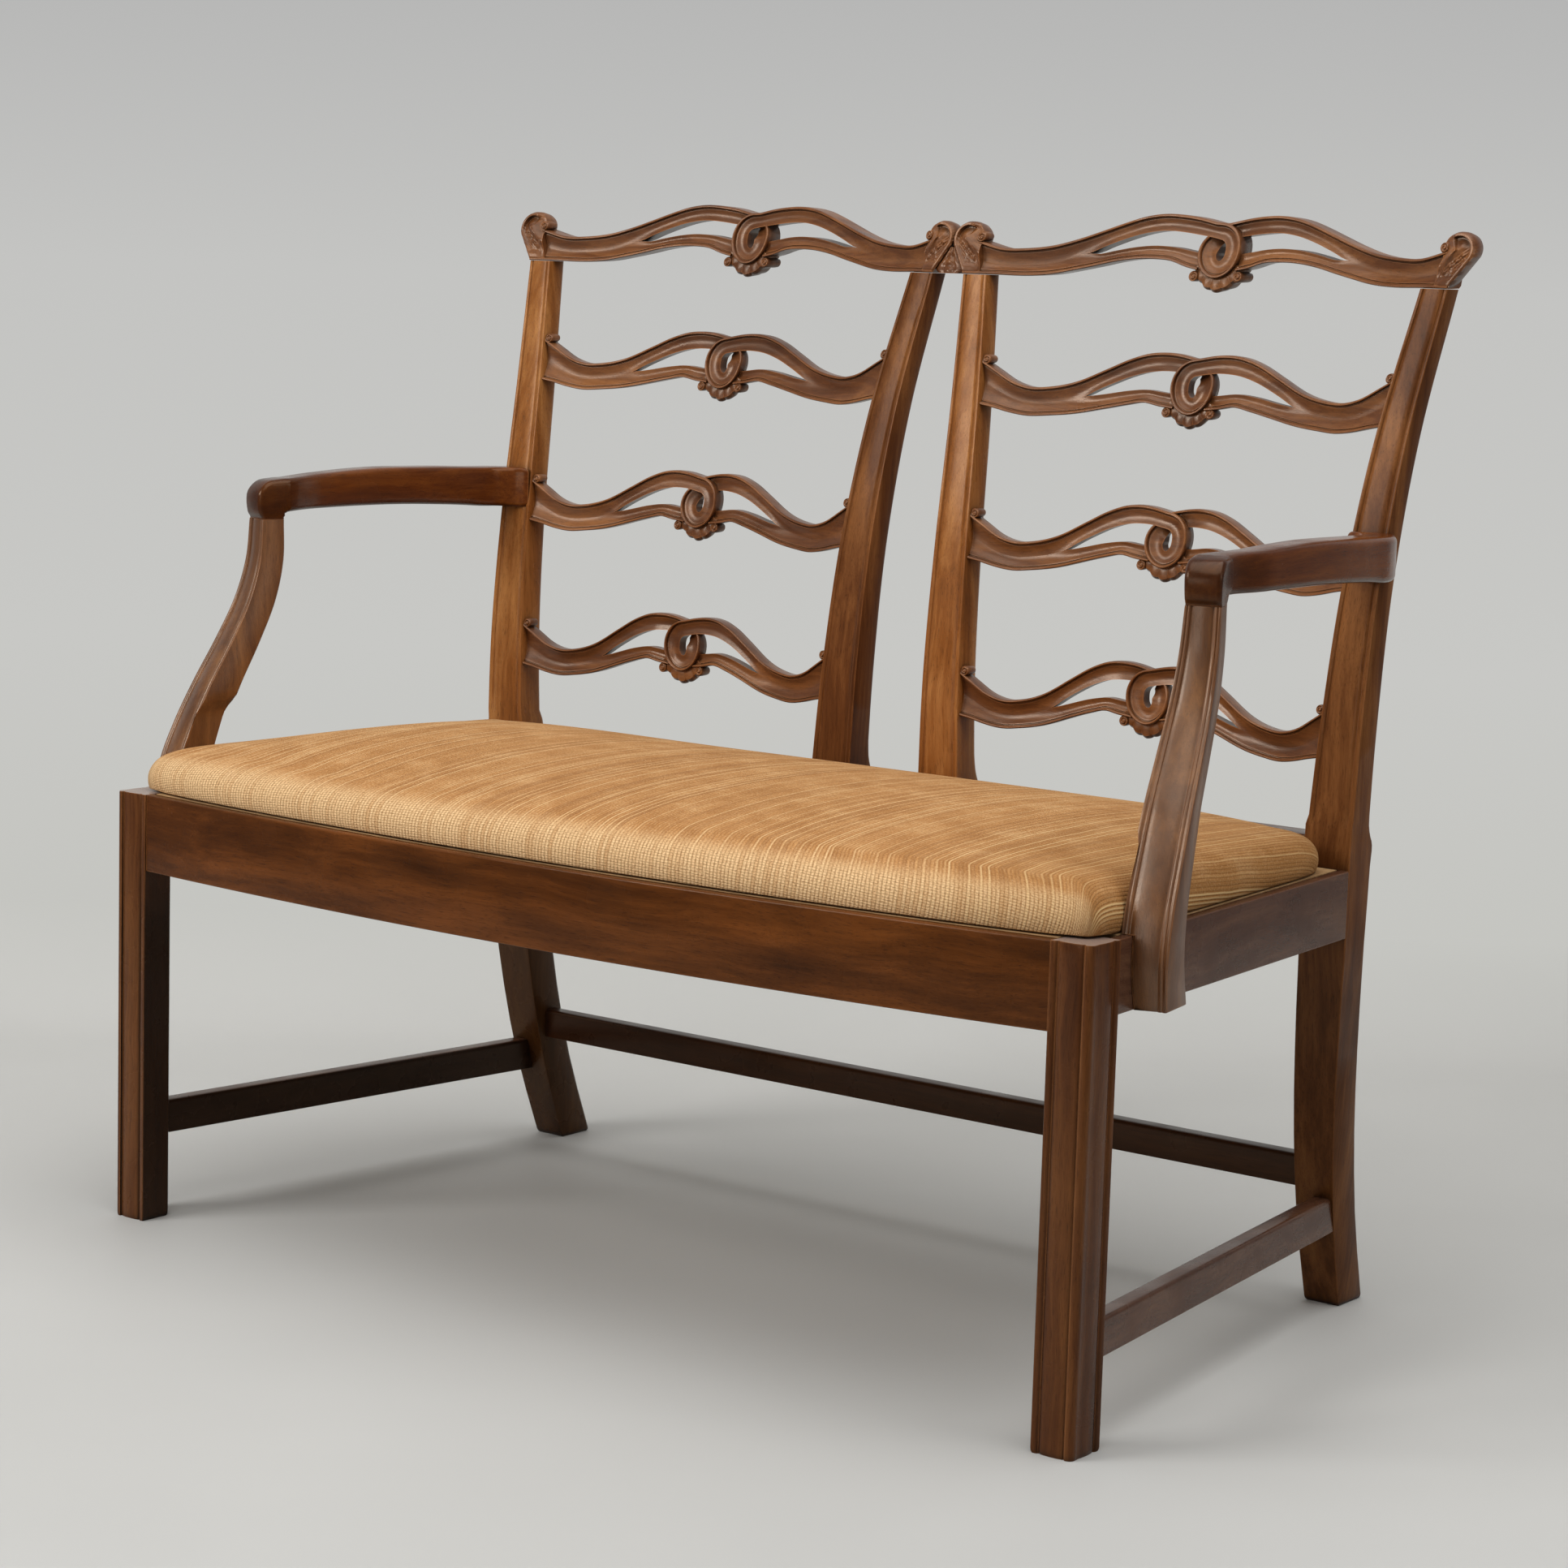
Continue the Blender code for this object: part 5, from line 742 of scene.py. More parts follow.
def support_corners(share):
    """The four corners of the right arm support at a share of its height: front outer first."""
    height = blend(SEAT_HEIGHT - SIDE_RAIL_HEIGHT, ARM_JOINT - FIT, share)
    foot_outer = side_rail_face(SUPPORT_SETBACK) + SUPPORT_STANDOUT
    outer = foot_outer - SUPPORT_DRAWN_IN * float(eased(SUPPORT_LEAN, share))
    front = SUPPORT_SETBACK + SUPPORT_SWEPT_BACK * float(eased(SUPPORT_SWEEP, share))
    turn = radians(blend(*SUPPORT_TURN, min(share * 2, 1.0)))
    width = blend(*SUPPORT_WIDTH, float(eased(SUPPORT_NARROWING, share)))
    depth = blend(*SUPPORT_DEPTH, share)
    inward = Vector((-cos(turn), -sin(turn), 0.0)) * width
    back = Vector((-sin(turn), cos(turn), 0.0)) * depth
    front_outer = Vector((outer, front, height))
    return front_outer, front_outer + inward, front_outer + inward + back, front_outer + back


def arm_support():
    """The S-shaped support, reeded down both edges of its front, lapped over the side rail."""
    reeds = ((0.0, 0.0016), (0.010, 0.0006), (0.03, 0.0002), (0.060, 0.0003), (0.082, 0.0011),
             (0.095, 0.0012), (0.112, 0.0004), (0.145, 0.0002), (0.172, 0.0006), (0.188, 0.0017),
             (0.205, 0.0018), (0.23, 0.0012), (0.30, 0.0007), (0.40, 0.0002), (0.50, 0.0))
    across_front = reeds + tuple((1 - place, cut) for place, cut in reversed(reeds[:-1]))
    tall = ARM_JOINT - FIT - SEAT_HEIGHT + SIDE_RAIL_HEIGHT
    rail_top = (SIDE_RAIL_HEIGHT + FIT) / tall
    seat_clear = (SIDE_RAIL_HEIGHT + 0.037 + SUPPORT_CLEARING) / tall
    shares = sorted([0.003, *np.linspace(0, 1, 57), rail_top - 0.0005, rail_top + 0.0005])
    rings = []
    for share in shares:
        front_outer, front_inner, back_inner, back_outer = support_corners(share)
        along = (front_inner - front_outer).normalized()
        deep = (back_outer - front_outer).normalized()
        width = (front_inner - front_outer).length
        ring = [front_outer + along * (width * place) + deep * cut for place, cut in across_front]
        for corner, first, second in ((back_inner, -deep, -along), (back_outer, along, -deep)):
            ring += [corner + first * (SUPPORT_CORNER * (1 - sin(turn)))
                     + second * (SUPPORT_CORNER * (1 - cos(turn))) for turn in np.linspace(0, pi / 2, 4)]
        room = -FIT
        if share >= rail_top:
            room = REBATE_LIP + SUPPORT_CLEARING * float(ramp(share, seat_clear, seat_clear + 0.15))
        middle = sum(ring, Vector()) / len(ring)
        if share == 0:
            ring = [point.lerp(middle, 0.05) for point in ring]
        rings.append([(max(point.x, side_rail_face(point.y) - room), point.y, point.z) for point in ring])
    return [loft(rings)]


def arm_rest(share):
    """The height of the arm's middle and its thickness at a share of the way back."""
    return (ARM_UNDERSIDE + ARM_THICKNESS * float(eased(ARM_LEVELS, share)),
            ARM_THICKNESS * float(eased(ARM_FULLNESS, share)))


def arm_sections():
    """The right arm's sections in order: middle, directions across and up, half sizes, corner radius."""
    corners = support_corners(1.0)
    across = (corners[0] - corners[1]).normalized()
    forward = (corners[0] - corners[3]).normalized()
    width, depth = ((corners[0] - corner).length for corner in (corners[1], corners[3]))
    middle = sum(corners, Vector()) / 4
    pivot = middle - forward * (depth / 2 + KNUCKLE_RADIUS)
    pivot.z = ARM_UNDERSIDE - KNUCKLE_RADIUS
    foot = middle.copy()
    foot.z = ARM_JOINT
    sections = [(foot, across, forward, width / 2, depth / 2, SUPPORT_CORNER)]
    for share, swell in ARM_TURN:
        out = forward * cos(share * pi / 2) + UPRIGHT * sin(share * pi / 2)
        size = blend(depth, ARM_NECK, share) * swell
        sections.append((pivot + out * (KNUCKLE_RADIUS + size / 2), across, out,
                         blend(width, ARM_WIDTH, share) / 2, size / 2, blend(SUPPORT_CORNER, 0.0070, share)))
    level, thickness = arm_rest(1.0)
    post_side = outer_post_side(level)
    front = float(post_front(level))
    start = Vector((middle.x, middle.y, 0.0))
    lap_outer = post_side + LAP_STANDOFF + LAP_SPREAD
    lap_front = front + LAP_STEP * ARM_LAP[0][0]
    end = Vector((lap_outer - ARM_WIDTH / 2, lap_front, 0.0))
    for share in ARM_SHARES:
        place = start.lerp(end, share)
        place.x += ARM_BOW * 4 * share * (1 - share)
        place.z, tallness = arm_rest(share)
        turn = across.lerp(SIDEWAYS, min(share * 1.5, 1.0)).normalized()
        sections.append((place, turn, UPRIGHT, ARM_WIDTH / 2, tallness / 2, 0.0075))
    for behind, flare, over in ARM_LAP:
        outer = post_side + LAP_STANDOFF + LAP_SPREAD * flare
        inner = post_side - post_width(level) * over
        place = Vector(((inner + outer) / 2, front + LAP_STEP * behind, level))
        sections.append((place, SIDEWAYS, UPRIGHT, (outer - inner) / 2, thickness / 2, 0.006))
    return sections


def arm():
    """The arm: down-turned knuckle, low-backed rest, and the lap round the outer post."""
    sections = arm_sections()
    lengths = [0.0]
    for before, after in zip(sections, sections[1:]):
        lengths.append(lengths[-1] + max((after[0] - before[0]).length, 0.002))
    places = np.array(lengths) / lengths[-1]
    table = np.array([[*middle, *across, *up, half_width, half_height, radius]
                      for middle, across, up, half_width, half_height, radius in sections])
    stations = np.unique(np.concatenate([np.linspace(a, b, 5) for a, b in zip(places, places[1:])]))
    quarters = enumerate(((1, 1), (-1, 1), (-1, -1), (1, -1)))
    turns = [(side, level, (quarter + step / 5) * pi / 2) for quarter, (side, level) in quarters
             for step in range(6)]
    rings = []
    for place in stations:
        row = np.array([float(eased(table[:, column], place, places, True)) for column in range(12)])
        middle, across, up = (Vector(row[start:start + 3]) for start in (0, 3, 6))
        across.normalize()
        up.normalize()
        half_width, half_height, radius = row[9:]
        radius = min(radius, half_width * 0.9, half_height * 0.9)
        rings.append([tuple(middle + across * (side * (half_width - radius) + radius * cos(turn))
                            + up * (level * (half_height - radius) + radius * sin(turn)))
                      for side, level, turn in turns])
    return [loft(rings)]


# Pierced ribbon rails

def ribbon_section(width, merge, sink, bead, thickness):
    """A ribbon across, as distance in from its beaded edge and depth: bead, quirk, hollow, back."""
    radius = bead / 2
    floor = 0.0012
    points = [(0.0030, thickness), (0.0006, thickness - 0.0030), (0.0, 0.006), (0.0, 0.0)]
    for turn in np.linspace(0, pi, 7):
        points.append((radius - radius * cos(turn), -0.0006 - (radius + 0.0002) * sin(turn) * 1.15))
    points += [(bead + 0.0001, 0.0016), (bead + 0.0008, 0.0019), (bead + 0.0013, floor)]
    start = bead + 0.0016
    end_depth = blend(0.0018, 0.0046, merge)
    for share in (0.0, 0.12, 0.28, 0.46, 0.64, 0.82, 1.0):
        alone = floor + (end_depth - floor) * share + 0.0018 * sin(pi * min(share * 1.05, 1.0))
        joined = floor + (end_depth + 0.0006 - floor) * sin(pi / 2 * share)
        points.append((blend(start, width, share), blend(alone, joined, merge)))
    points += [(width - 0.0002, thickness - 0.0030), (width - 0.0030, thickness)]
    return [(across, depth + sink if depth < thickness - 0.0031 else depth) for across, depth in points]


def ribbon_skin(stations, bead, thickness):
    """A ribbon's skin through stations of beaded edge, other edge, merge and sink in the flat drawing."""
    rings = []
    for edge, other, merge, sink in stations:
        edge, other = np.array(edge), np.array(other)
        width = np.linalg.norm(other - edge)
        across = (other - edge) / width
        rings.append([(edge[0] + across[0] * distance, depth, edge[1] + across[1] * distance)
                      for distance, depth in ribbon_section(width, merge, sink, bead, thickness)])
    return loft(rings)


def table_line(table, column, share):
    rows = np.array(table)
    return float(eased(rows[:, column], share, rows[:, 0]))


def ribbon_edges(arch, band, share, rise, droop):
    """Heights of the arch's and the band's edges at a share along, closed up where they run as one."""
    fall = droop * float(eased(DROOP, share))
    top, under = (table_line(arch, column, share) * rise - fall for column in (1, 2))
    band_top, bottom = (table_line(band, column, share) * rise - fall for column in (1, 2))
    joined = float(ramp(share, 0.47, 0.56)) if share > 0.3 else 0.0
    seam = (under + band_top) / 2
    return top, blend(under, seam, joined), blend(band_top, seam, joined), bottom


def arch_stations(arch, band, side, rise, half, droop, over, loop_rise):
    """Stations along one side's arch from the post inwards, and on round the loop if it lies on top."""
    stations = []
    inmost = 0.03 if over else 0.0
    for share in np.linspace(1.0, inmost, 46):
        top, under, _, _ = ribbon_edges(arch, band, share, rise, droop)
        x = side * share * half
        sink = 0.0 if over else 0.0032 * float(1 - ramp(share, 0.06, 0.2))
        stations.append(((x, top), (x, under), float(ramp(share, MERGE_START, MERGE_END)), sink))
    if over:
        turns, outer, inner, sinks = np.array(LOOP_TURN).T
        for angle in np.linspace(0, 350, 46):
            reach, eye, sink = (float(eased(column, angle, turns)) for column in (outer, inner, sinks))
            away = (-side * sin(radians(angle)), cos(radians(angle)))
            stations.append(((away[0] * reach, loop_rise + away[1] * reach),
                             (away[0] * eye, loop_rise + away[1] * eye), 0.0, sink))
    return stations


def band_stations(arch, band, side, rise, half, droop):
    """Stations along one side's lower ribbon, from behind the loop to the post."""
    stations = []
    for share in np.linspace(0.08, 1.0, 42):
        _, _, band_top, bottom = ribbon_edges(arch, band, share, rise, droop)
        x = side * share * half
        sink = 0.0016 * float(1 - ramp(share, 0.10, 0.2))
        stations.append(((x, bottom), (x, band_top), float(ramp(share, MERGE_START, MERGE_END)), sink))
    return stations


def carved_round(middle, outline, depth_at, back, draw=1.0, around=72, rings_in=16):
    """A carved boss: a skin over an outline about its middle, its front cut to a depth, drawn in behind."""
    turns = np.linspace(0, 2 * pi, around, endpoint=False)
    reach = np.array([outline(turn) for turn in turns])
    rings = []
    for share in np.linspace(0.03, 1.0, rings_in):
        rings.append([(middle[0] + share * far * cos(turn), depth_at(share, turn, share * far),
                       middle[1] + share * far * sin(turn)) for turn, far in zip(turns, reach)])
    edge = rings[-1]
    for depth, size in ((0.35, 0.995), (0.8, blend(1, draw, 0.7)), (1.0, draw * 0.93)):
        rings.append([(middle[0] + size * (x - middle[0]), blend(y, back, depth),
                       middle[1] + size * (z - middle[1])) for x, y, z in edge])
    return loft(rings)


def scroll(middle, radius, depth, back, side):
    """A little scroll: a round disc with a spiral cut into its face."""
    def face(share, turn, _):
        swirl = share * 1.9 - side * turn / (2 * pi)
        groove = 0.5 - 0.5 * cos(2 * pi * swirl)
        return depth + 0.0012 * (1 - groove) * ramp(share, 0.12, 0.3) - 0.0009 * (1 - share) ** 2 \
            + 0.0010 * float(ramp(share, 0.86, 1.0))
    return carved_round(middle, lambda turn: radius, face, back, 0.9, 40, 12)


def loop_shell(radius, rise, thickness):
    """The shell below a loop: shallow flutes spreading to a faintly scalloped edge, between two scrolls."""
    rings = []
    for angle in np.linspace(-58, 58, 101):
        turn = radians(angle)
        lobe = abs(cos(pi * angle / 19.0)) ** 0.8
        reach = radius * (1.47 - 0.24 * (abs(angle) / 50) ** 1.4 + 0.05 * lobe)
        ring = []
        for share in (0.0, 0.12, 0.25, 0.38, 0.5, 0.62, 0.74, 0.85, 0.94, 1.0):
            far = blend(radius * 0.84, reach, share)
            flute = 0.0014 * (1 - lobe) * float(ramp(share, 0.15, 0.75))
            fall = 0.0028 * float(ramp(share, 0.80, 1.0)) ** 2
            ring.append((far, 0.0030 - 0.0014 * sin(pi * share) + flute + fall))
        back = thickness - 0.0015
        ring += [(reach + 0.0002, 0.0085), (reach * 0.95, back), (radius * 0.9, back)]
        rings.append([(far * sin(turn), depth, rise - far * cos(turn)) for far, depth in ring])
    return [loft(rings)] + [scroll((side * 0.95 * radius, rise - 0.93 * radius), 0.20 * radius, -0.0002,
                                   thickness - 0.002, side) for side in (-1, 1)]


def ribbon_rail(arch, band, half, rise, droop, over, bead, thickness, loop_rise, hooked):
    """A pierced rail in the flat: two ribbons that cross in a loop over a shell, and merge at the posts."""
    shapes = []
    for side in (-1, 1):
        shapes.append(ribbon_skin(arch_stations(arch, band, side, rise, half, droop, side == over, loop_rise),
                                  bead, thickness))
        shapes.append(ribbon_skin(band_stations(arch, band, side, rise, half, droop), bead, thickness))
        if hooked:
            top = ribbon_edges(arch, band, 1.0, rise, droop)[0]
            shapes.append(scroll((side * (half - 0.0038), top + 0.0016), 0.0046, -0.0024, thickness * 0.7,
                                 side))
    return shapes + loop_shell(LOOP_RADIUS, loop_rise, thickness)


def ladder_rail(row, chair):
    """One ladder rail in its place between the posts of the left (-1) or right (1) chair back."""
    level, bow, droop, over = LADDER_ROWS[row]

    def half_at(height):
        return float(post_half_spacing(height)) - post_width(height) / 2 - FIT
    nominal = half_at(level)

    def place(x, y, z):
        height = level + z
        share = x / nominal
        hollow = bow * (1 - min(share * share, 1.0))
        return (chair * CHAIR_CENTRE + share * half_at(height),
                float(post_front(height)) + LADDER_SETBACK + hollow + y, height)
    return mapped(ribbon_rail(LADDER_ARCH, LADDER_BAND, nominal, LADDER_RISE, droop, over, LADDER_BEAD,
                              LADDER_THICKNESS, 0.003, True), place)


def reach_to(outline, middle):
    """How far an outline stands from its middle in any direction, for a shape seen whole from there."""
    start = np.array(outline) - middle
    run = np.roll(start, -1, axis=0) - start

    def far(turn):
        ahead = np.array((cos(turn), sin(turn)))
        cross = ahead[0] * run[:, 1] - ahead[1] * run[:, 0]
        cross[np.abs(cross) < 1e-12] = 1e-12
        distance = (start[:, 0] * run[:, 1] - start[:, 1] * run[:, 0]) / cross
        along = (start[:, 0] * ahead[1] - start[:, 1] * ahead[0]) / cross
        hits = distance[(along > -1e-6) & (along < 1 + 1e-6) & (distance > 0)]
        return float(hits.max())
    return far


def crest_ear(side, inner):
    """A curled ear: a volute over the post, scalloped round its edge, and a leaf that runs down its neck."""
    reach = CHAIR_CENTRE - CREST_HALF - EAR_RADIUS - FIT if inner else 0.0045
    middle = (side * (CREST_HALF + reach), EAR_MIDDLE)
    turns = np.linspace(radians(-25), pi + radians(25), 40)
    outline = [(side * (CREST_HALF - EAR_RADIUS), -CREST_SEAT), (side * CREST_HALF, -CREST_SEAT)]
    outline += [(middle[0] + side * EAR_RADIUS * cos(turn), middle[1] + EAR_RADIUS * sin(turn))
                for turn in turns]
    plain = reach_to(outline, middle)

    def face(share, turn, distance):
        out, up = distance * cos(turn) * side, distance * sin(turn)
        along = (out + 0.020) * 0.742 + (up + 0.018) * 0.671
        beside = (up + 0.018) * 0.742 - (out + 0.020) * 0.671
        toward_rail = float(ramp(-cos(turn) * side, 0.35, 0.8))
        rim = float(ramp(share, 0.66, 0.80) * (1 - ramp(share, 0.90, 1.0))) * (1 - toward_rail)
        ridge = np.exp(-(beside / 0.0046) ** 2) * float(1 - ramp(along, 0.031, 0.038))
        hollow = blend(0.0020, 0.0048, float(ramp(up, -0.006, 0.009))) * (1 - rim) * (1 - toward_rail)
        tips = sum(np.exp(-((along - place) ** 2 + (beside + 0.0072) ** 2) / 0.0021 ** 2)
                   for place in (0.006, 0.0135, 0.021, 0.0285))
        veins = 0.0004 * cos(2 * pi * beside / 0.0024) * float(ramp(-beside, 0.003, 0.006)) * (1 - rim)
        return -0.0030 + hollow - 0.0036 * ridge * (1 - rim) - 0.0018 * tips * (1 - rim) + veins \
            + 0.0022 * toward_rail * float(ramp(share, 0.4, 0.9))
    hook = (middle[0] - side * 0.0148, middle[1] + 0.0018)
    return [carved_round(middle, plain, face, CREST_BACK, 0.86, 128, 28),
            scroll(hook, 0.0048, -0.0036, 0.012, side)]


def crest_rail(chair):
    """A crest rail: heavier ribbons, ears over its posts, and flat seats cut for the posts' tops."""
    shapes = ribbon_rail(CREST_ARCH, CREST_BAND, CREST_HALF, CREST_RISE, 0.0, -chair, CREST_BEAD,
                         CREST_THICKNESS, 0.002, False)
    for side in (-1, 1):
        shapes += crest_ear(side, side == -chair)

    def place(x, y, z):
        height = CREST_LEVEL + z
        share = x / CREST_HALF
        hollow = CREST_BOW * (1 - min(share * share, 1.0))
        return (chair * CHAIR_CENTRE + x, float(post_front(height)) + hollow + y, height)
    return mapped(shapes, place)


def leaf_block():
    """The wedge between the crests: three leaf tongues that rise from a bead."""
    widest = CHAIR_CENTRE - CREST_HALF - FIT
    reach = widest - EAR_RADIUS + EAR_RADIUS * cos(radians(25))
    bottom, top = -CREST_SEAT, EAR_MIDDLE - EAR_RADIUS * sin(radians(25))
    rings = []
    for climb in np.linspace(0, 0.92, 24):
        z = CREST_LEVEL + blend(bottom, top, climb)
        fullness = float(eased((0.7, 1.0, 1.0, 0.9), climb, (0.0, 0.12, 0.45, 0.92)))
        half = (widest - reach * climb) * fullness
        y = float(post_front(z))
        ring = []
        for share in np.linspace(-1, 1, 21):
            tongue = abs(cos(1.5 * pi * share * (1 - 0.3 * climb)))
            swell = 0.0016 * tongue ** 0.7 - 0.0018 * abs(share) ** 2
            cuts = 0.0008 * sin(6 * pi * climb) * (1 - abs(share))
            ring.append((share * half, y + 0.0004 - swell - cuts, z))
        ring += [(half, y + CREST_BACK, z), (-half, y + CREST_BACK, z)]
        rings.append(ring)
    return [loft(rings)]


# The drop-in seat

def seat_front_edge(x):
    return front_rail_face(x) + REBATE_LIP + SEAT_GAP


def seat_side_edge(y):
    return side_rail_face(y) - REBATE_LIP - SEAT_GAP


def pad_plan(across, deep, inset):
    """A place in the pad's plan: shares -1 to 1 across and 0 to 1 deep, drawn in from its edge."""
    front_half = seat_side_edge(LEG_DEPTH)
    rear = SEAT_DEPTH - SEAT_GAP - inset
    side_y = blend(seat_front_edge(front_half), rear, deep)
    half = seat_side_edge(max(side_y, LEG_DEPTH)) - inset
    corner = abs(across) * abs(2 * deep - 1)
    pull = 0.016 * corner ** 9 if across > 0 and deep > 0.5 else 0.0066 * corner ** 14
    x = across * (half - pull)
    front = seat_front_edge(min(abs(x), front_half)) + inset
    return x, blend(front + pull, rear - pull, deep)


def pad_shares(column, row):
    turn = pi * column / PAD_COLUMNS
    across = blend(2 * column / PAD_COLUMNS - 1, -cos(turn), 0.3)
    deep = blend(row / PAD_ROWS, 0.5 - cos(pi * row / PAD_ROWS) / 2, 0.4)
    return across, deep


def pad_crown(across, deep):
    """The stuffing's crown, fuller to the left, where it is less sat on, and low at the right rear."""
    crown = (1 - abs(across) ** 5.0) * (1 - abs(2 * deep - 1) ** 2.2)
    left = float(ramp(-across, 0.2, 0.85))
    rear_right = float(ramp(across, 0.55, 1.0) * ramp(deep, 0.45, 1.0))
    return crown * (1 + 0.95 * left - 0.25 * rear_right)


def pad_slump(across, deep):
    """How much of its height the pad's edge keeps: the right rear corner has slumped."""
    return 1 - 0.07 * float(ramp(across, 0.70, 1.0) * ramp(deep, 0.55, 1.0))


def pad_skin():
    """Points, faces and cloth places of the pad: a fine grid on top, a rolled edge, a flat underside."""
    base = SEAT_HEIGHT + WEBBING_THICKNESS + 2 * FIT
    points, cloth, faces = [], [], []
    for row in range(PAD_ROWS + 1):
        for column in range(PAD_COLUMNS + 1):
            shares = pad_shares(column, row)
            x, y = pad_plan(*shares, PAD_ROLL)
            points.append((x, y, base + PAD_EDGE * pad_slump(*shares) + PAD_CROWN * pad_crown(*shares)))
            cloth.append((x, y))
    wide = PAD_COLUMNS + 1
    for row in range(PAD_ROWS):
        faces += [(start, start + 1, start + wide + 1, start + wide)
                  for start in range(row * wide, row * wide + PAD_COLUMNS)]
    rim = [(column, 0) for column in range(PAD_COLUMNS)]
    rim += [(PAD_COLUMNS, row) for row in range(PAD_ROWS)]
    rim += [(PAD_COLUMNS - column, PAD_ROWS - row) for column, row in rim]
    upper = [row * wide + column for column, row in rim]
    edge = [Vector(pad_plan(*pad_shares(column, row), 0.0)) for column, row in rim]
    runs = [edge[(index + 2) % len(rim)] - edge[index - 2] for index in range(len(rim))]
    outward = [Vector((run.y, -run.x)).normalized() for run in runs]
    starts = [cloth[index] for index in upper]
    travelled, before = 0.0, (PAD_ROLL, PAD_EDGE)
    insets, rises = np.array(PAD_PROFILE).T
    for share in np.linspace(0, 1, 19)[1:]:
        inset, rise = (float(eased(column, share)) for column in (insets, rises))
        travelled += sqrt((inset - before[0]) ** 2 + (rise - before[1]) ** 2)
        before = (inset, rise)
        lower = []
        for (column, row), (u, v), away in zip(rim, starts, outward):
            x, y = pad_plan(*pad_shares(column, row), inset)
            lower.append(len(points))
            over_leg = abs(x) > HALF_WIDTH - LEG_WIDTH - 0.001 and y < LEG_DEPTH + 0.002
            height = rise * pad_slump(*pad_shares(column, row))
            points.append((x, y, base + (max(height, 0.0) if over_leg else height)))
            cloth.append((u + away.x * travelled, v + away.y * travelled))
        faces += [(upper[index - 1], lower[index - 1], lower[index], upper[index])
                  for index in (*range(1, len(rim)), 0)]
        upper = lower
    under = dict(zip(rim, upper))
    for row in range(1, PAD_ROWS):
        for column in range(1, PAD_COLUMNS):
            under[column, row] = len(points)
            x, y = pad_plan(*pad_shares(column, row), PAD_PROFILE[-1][0])
            points.append((x, y, base + PAD_PROFILE[-1][1]))
            cloth.append((x, y))
    for row in range(PAD_ROWS):
        faces += [(under[column, row], under[column, row + 1],
                   under[column + 1, row + 1], under[column + 1, row]) for column in range(PAD_COLUMNS)]
    return np.array(points), faces, cloth, list(under.values())


def seat_pad(finish):
    """The stuffed pad under its velvet, plumped by a short cloth run with its lower edge tacked down."""
    points, faces, cloth, tacked = pad_skin()
    mesh = meshed("seat_pad_velvet", [(x, y + FRONT_LINE, z) for x, y, z in points], faces, finish)
    weave = mesh.uv_layers.new(name="weave")
    for loop in mesh.loops:
        weave.data[loop.index].uv = cloth[loop.vertex_index]
    pad = placed("seat_pad_velvet", mesh)
    plump(pad, tacked)
    mesh.update()
    normals = np.array([tuple(vertex.normal) for vertex in mesh.vertices])
    places = np.array([tuple(vertex.co) for vertex in mesh.vertices])
    # Masks for the velvet: the front roll, painted lighter, partly as painted light; the turned sides,
    # painted in shade, and the right end, where the pile lies another way, darkened the same
    right_end = 0.7 * ramp(places[:, 0], 0.34, 0.52)
    for name, share in (("bent_over", ramp(-normals[:, 1], 0.25, 0.85)),
                        ("turned_side", np.maximum(ramp(np.abs(normals[:, 0]), 0.3, 0.9), right_end))):
        mesh.attributes.new(name, "FLOAT", "POINT").data.foreach_set("value", share.astype(np.float32))
    fine = pad.modifiers.new("fine", "SUBSURF")
    fine.levels = fine.render_levels = 1
    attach(pad, "drop_in_seat")
    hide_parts("seat_pad")
    return pad


def plump(pad, tacked):
    """Runs the cloth for a few steps under pressure and keeps a capped share of where it goes."""
    held = pad.vertex_groups.new(name="tacked")
    held.add(list(tacked), 1.0, "REPLACE")
    cloth = pad.modifiers.new("plump", "CLOTH")
    for setting, value in (
            ("quality", 5), ("mass", 0.4), ("tension_stiffness", 80), ("compression_stiffness", 80),
            ("bending_stiffness", 4.0), ("use_pressure", True), ("uniform_pressure_force", 0.3),
            ("vertex_group_mass", held.name)):
        setattr(cloth.settings, setting, value)
    cloth.settings.effector_weights.gravity = 0.0
    cloth.collision_settings.use_self_collision = False
    scene = bpy.context.scene
    for step in range(1, PLUMP_STEPS + 1):
        scene.frame_set(step)
    settled = pad.evaluated_get(bpy.context.evaluated_depsgraph_get())
    moved = np.array([tuple(vertex.co) for vertex in settled.data.vertices])
    still = np.array([tuple(vertex.co) for vertex in pad.data.vertices])
    pad.modifiers.remove(cloth)
    pad.vertex_groups.remove(held)
    scene.frame_set(1)
    shift = moved - still
    length = np.linalg.norm(shift, axis=1, keepdims=True)
    shift *= PLUMP_SHARE * np.minimum(1.0, PLUMP_CAP / np.maximum(length, 1e-9))
    for vertex, place in zip(pad.data.vertices, still + shift):
        vertex.co = place


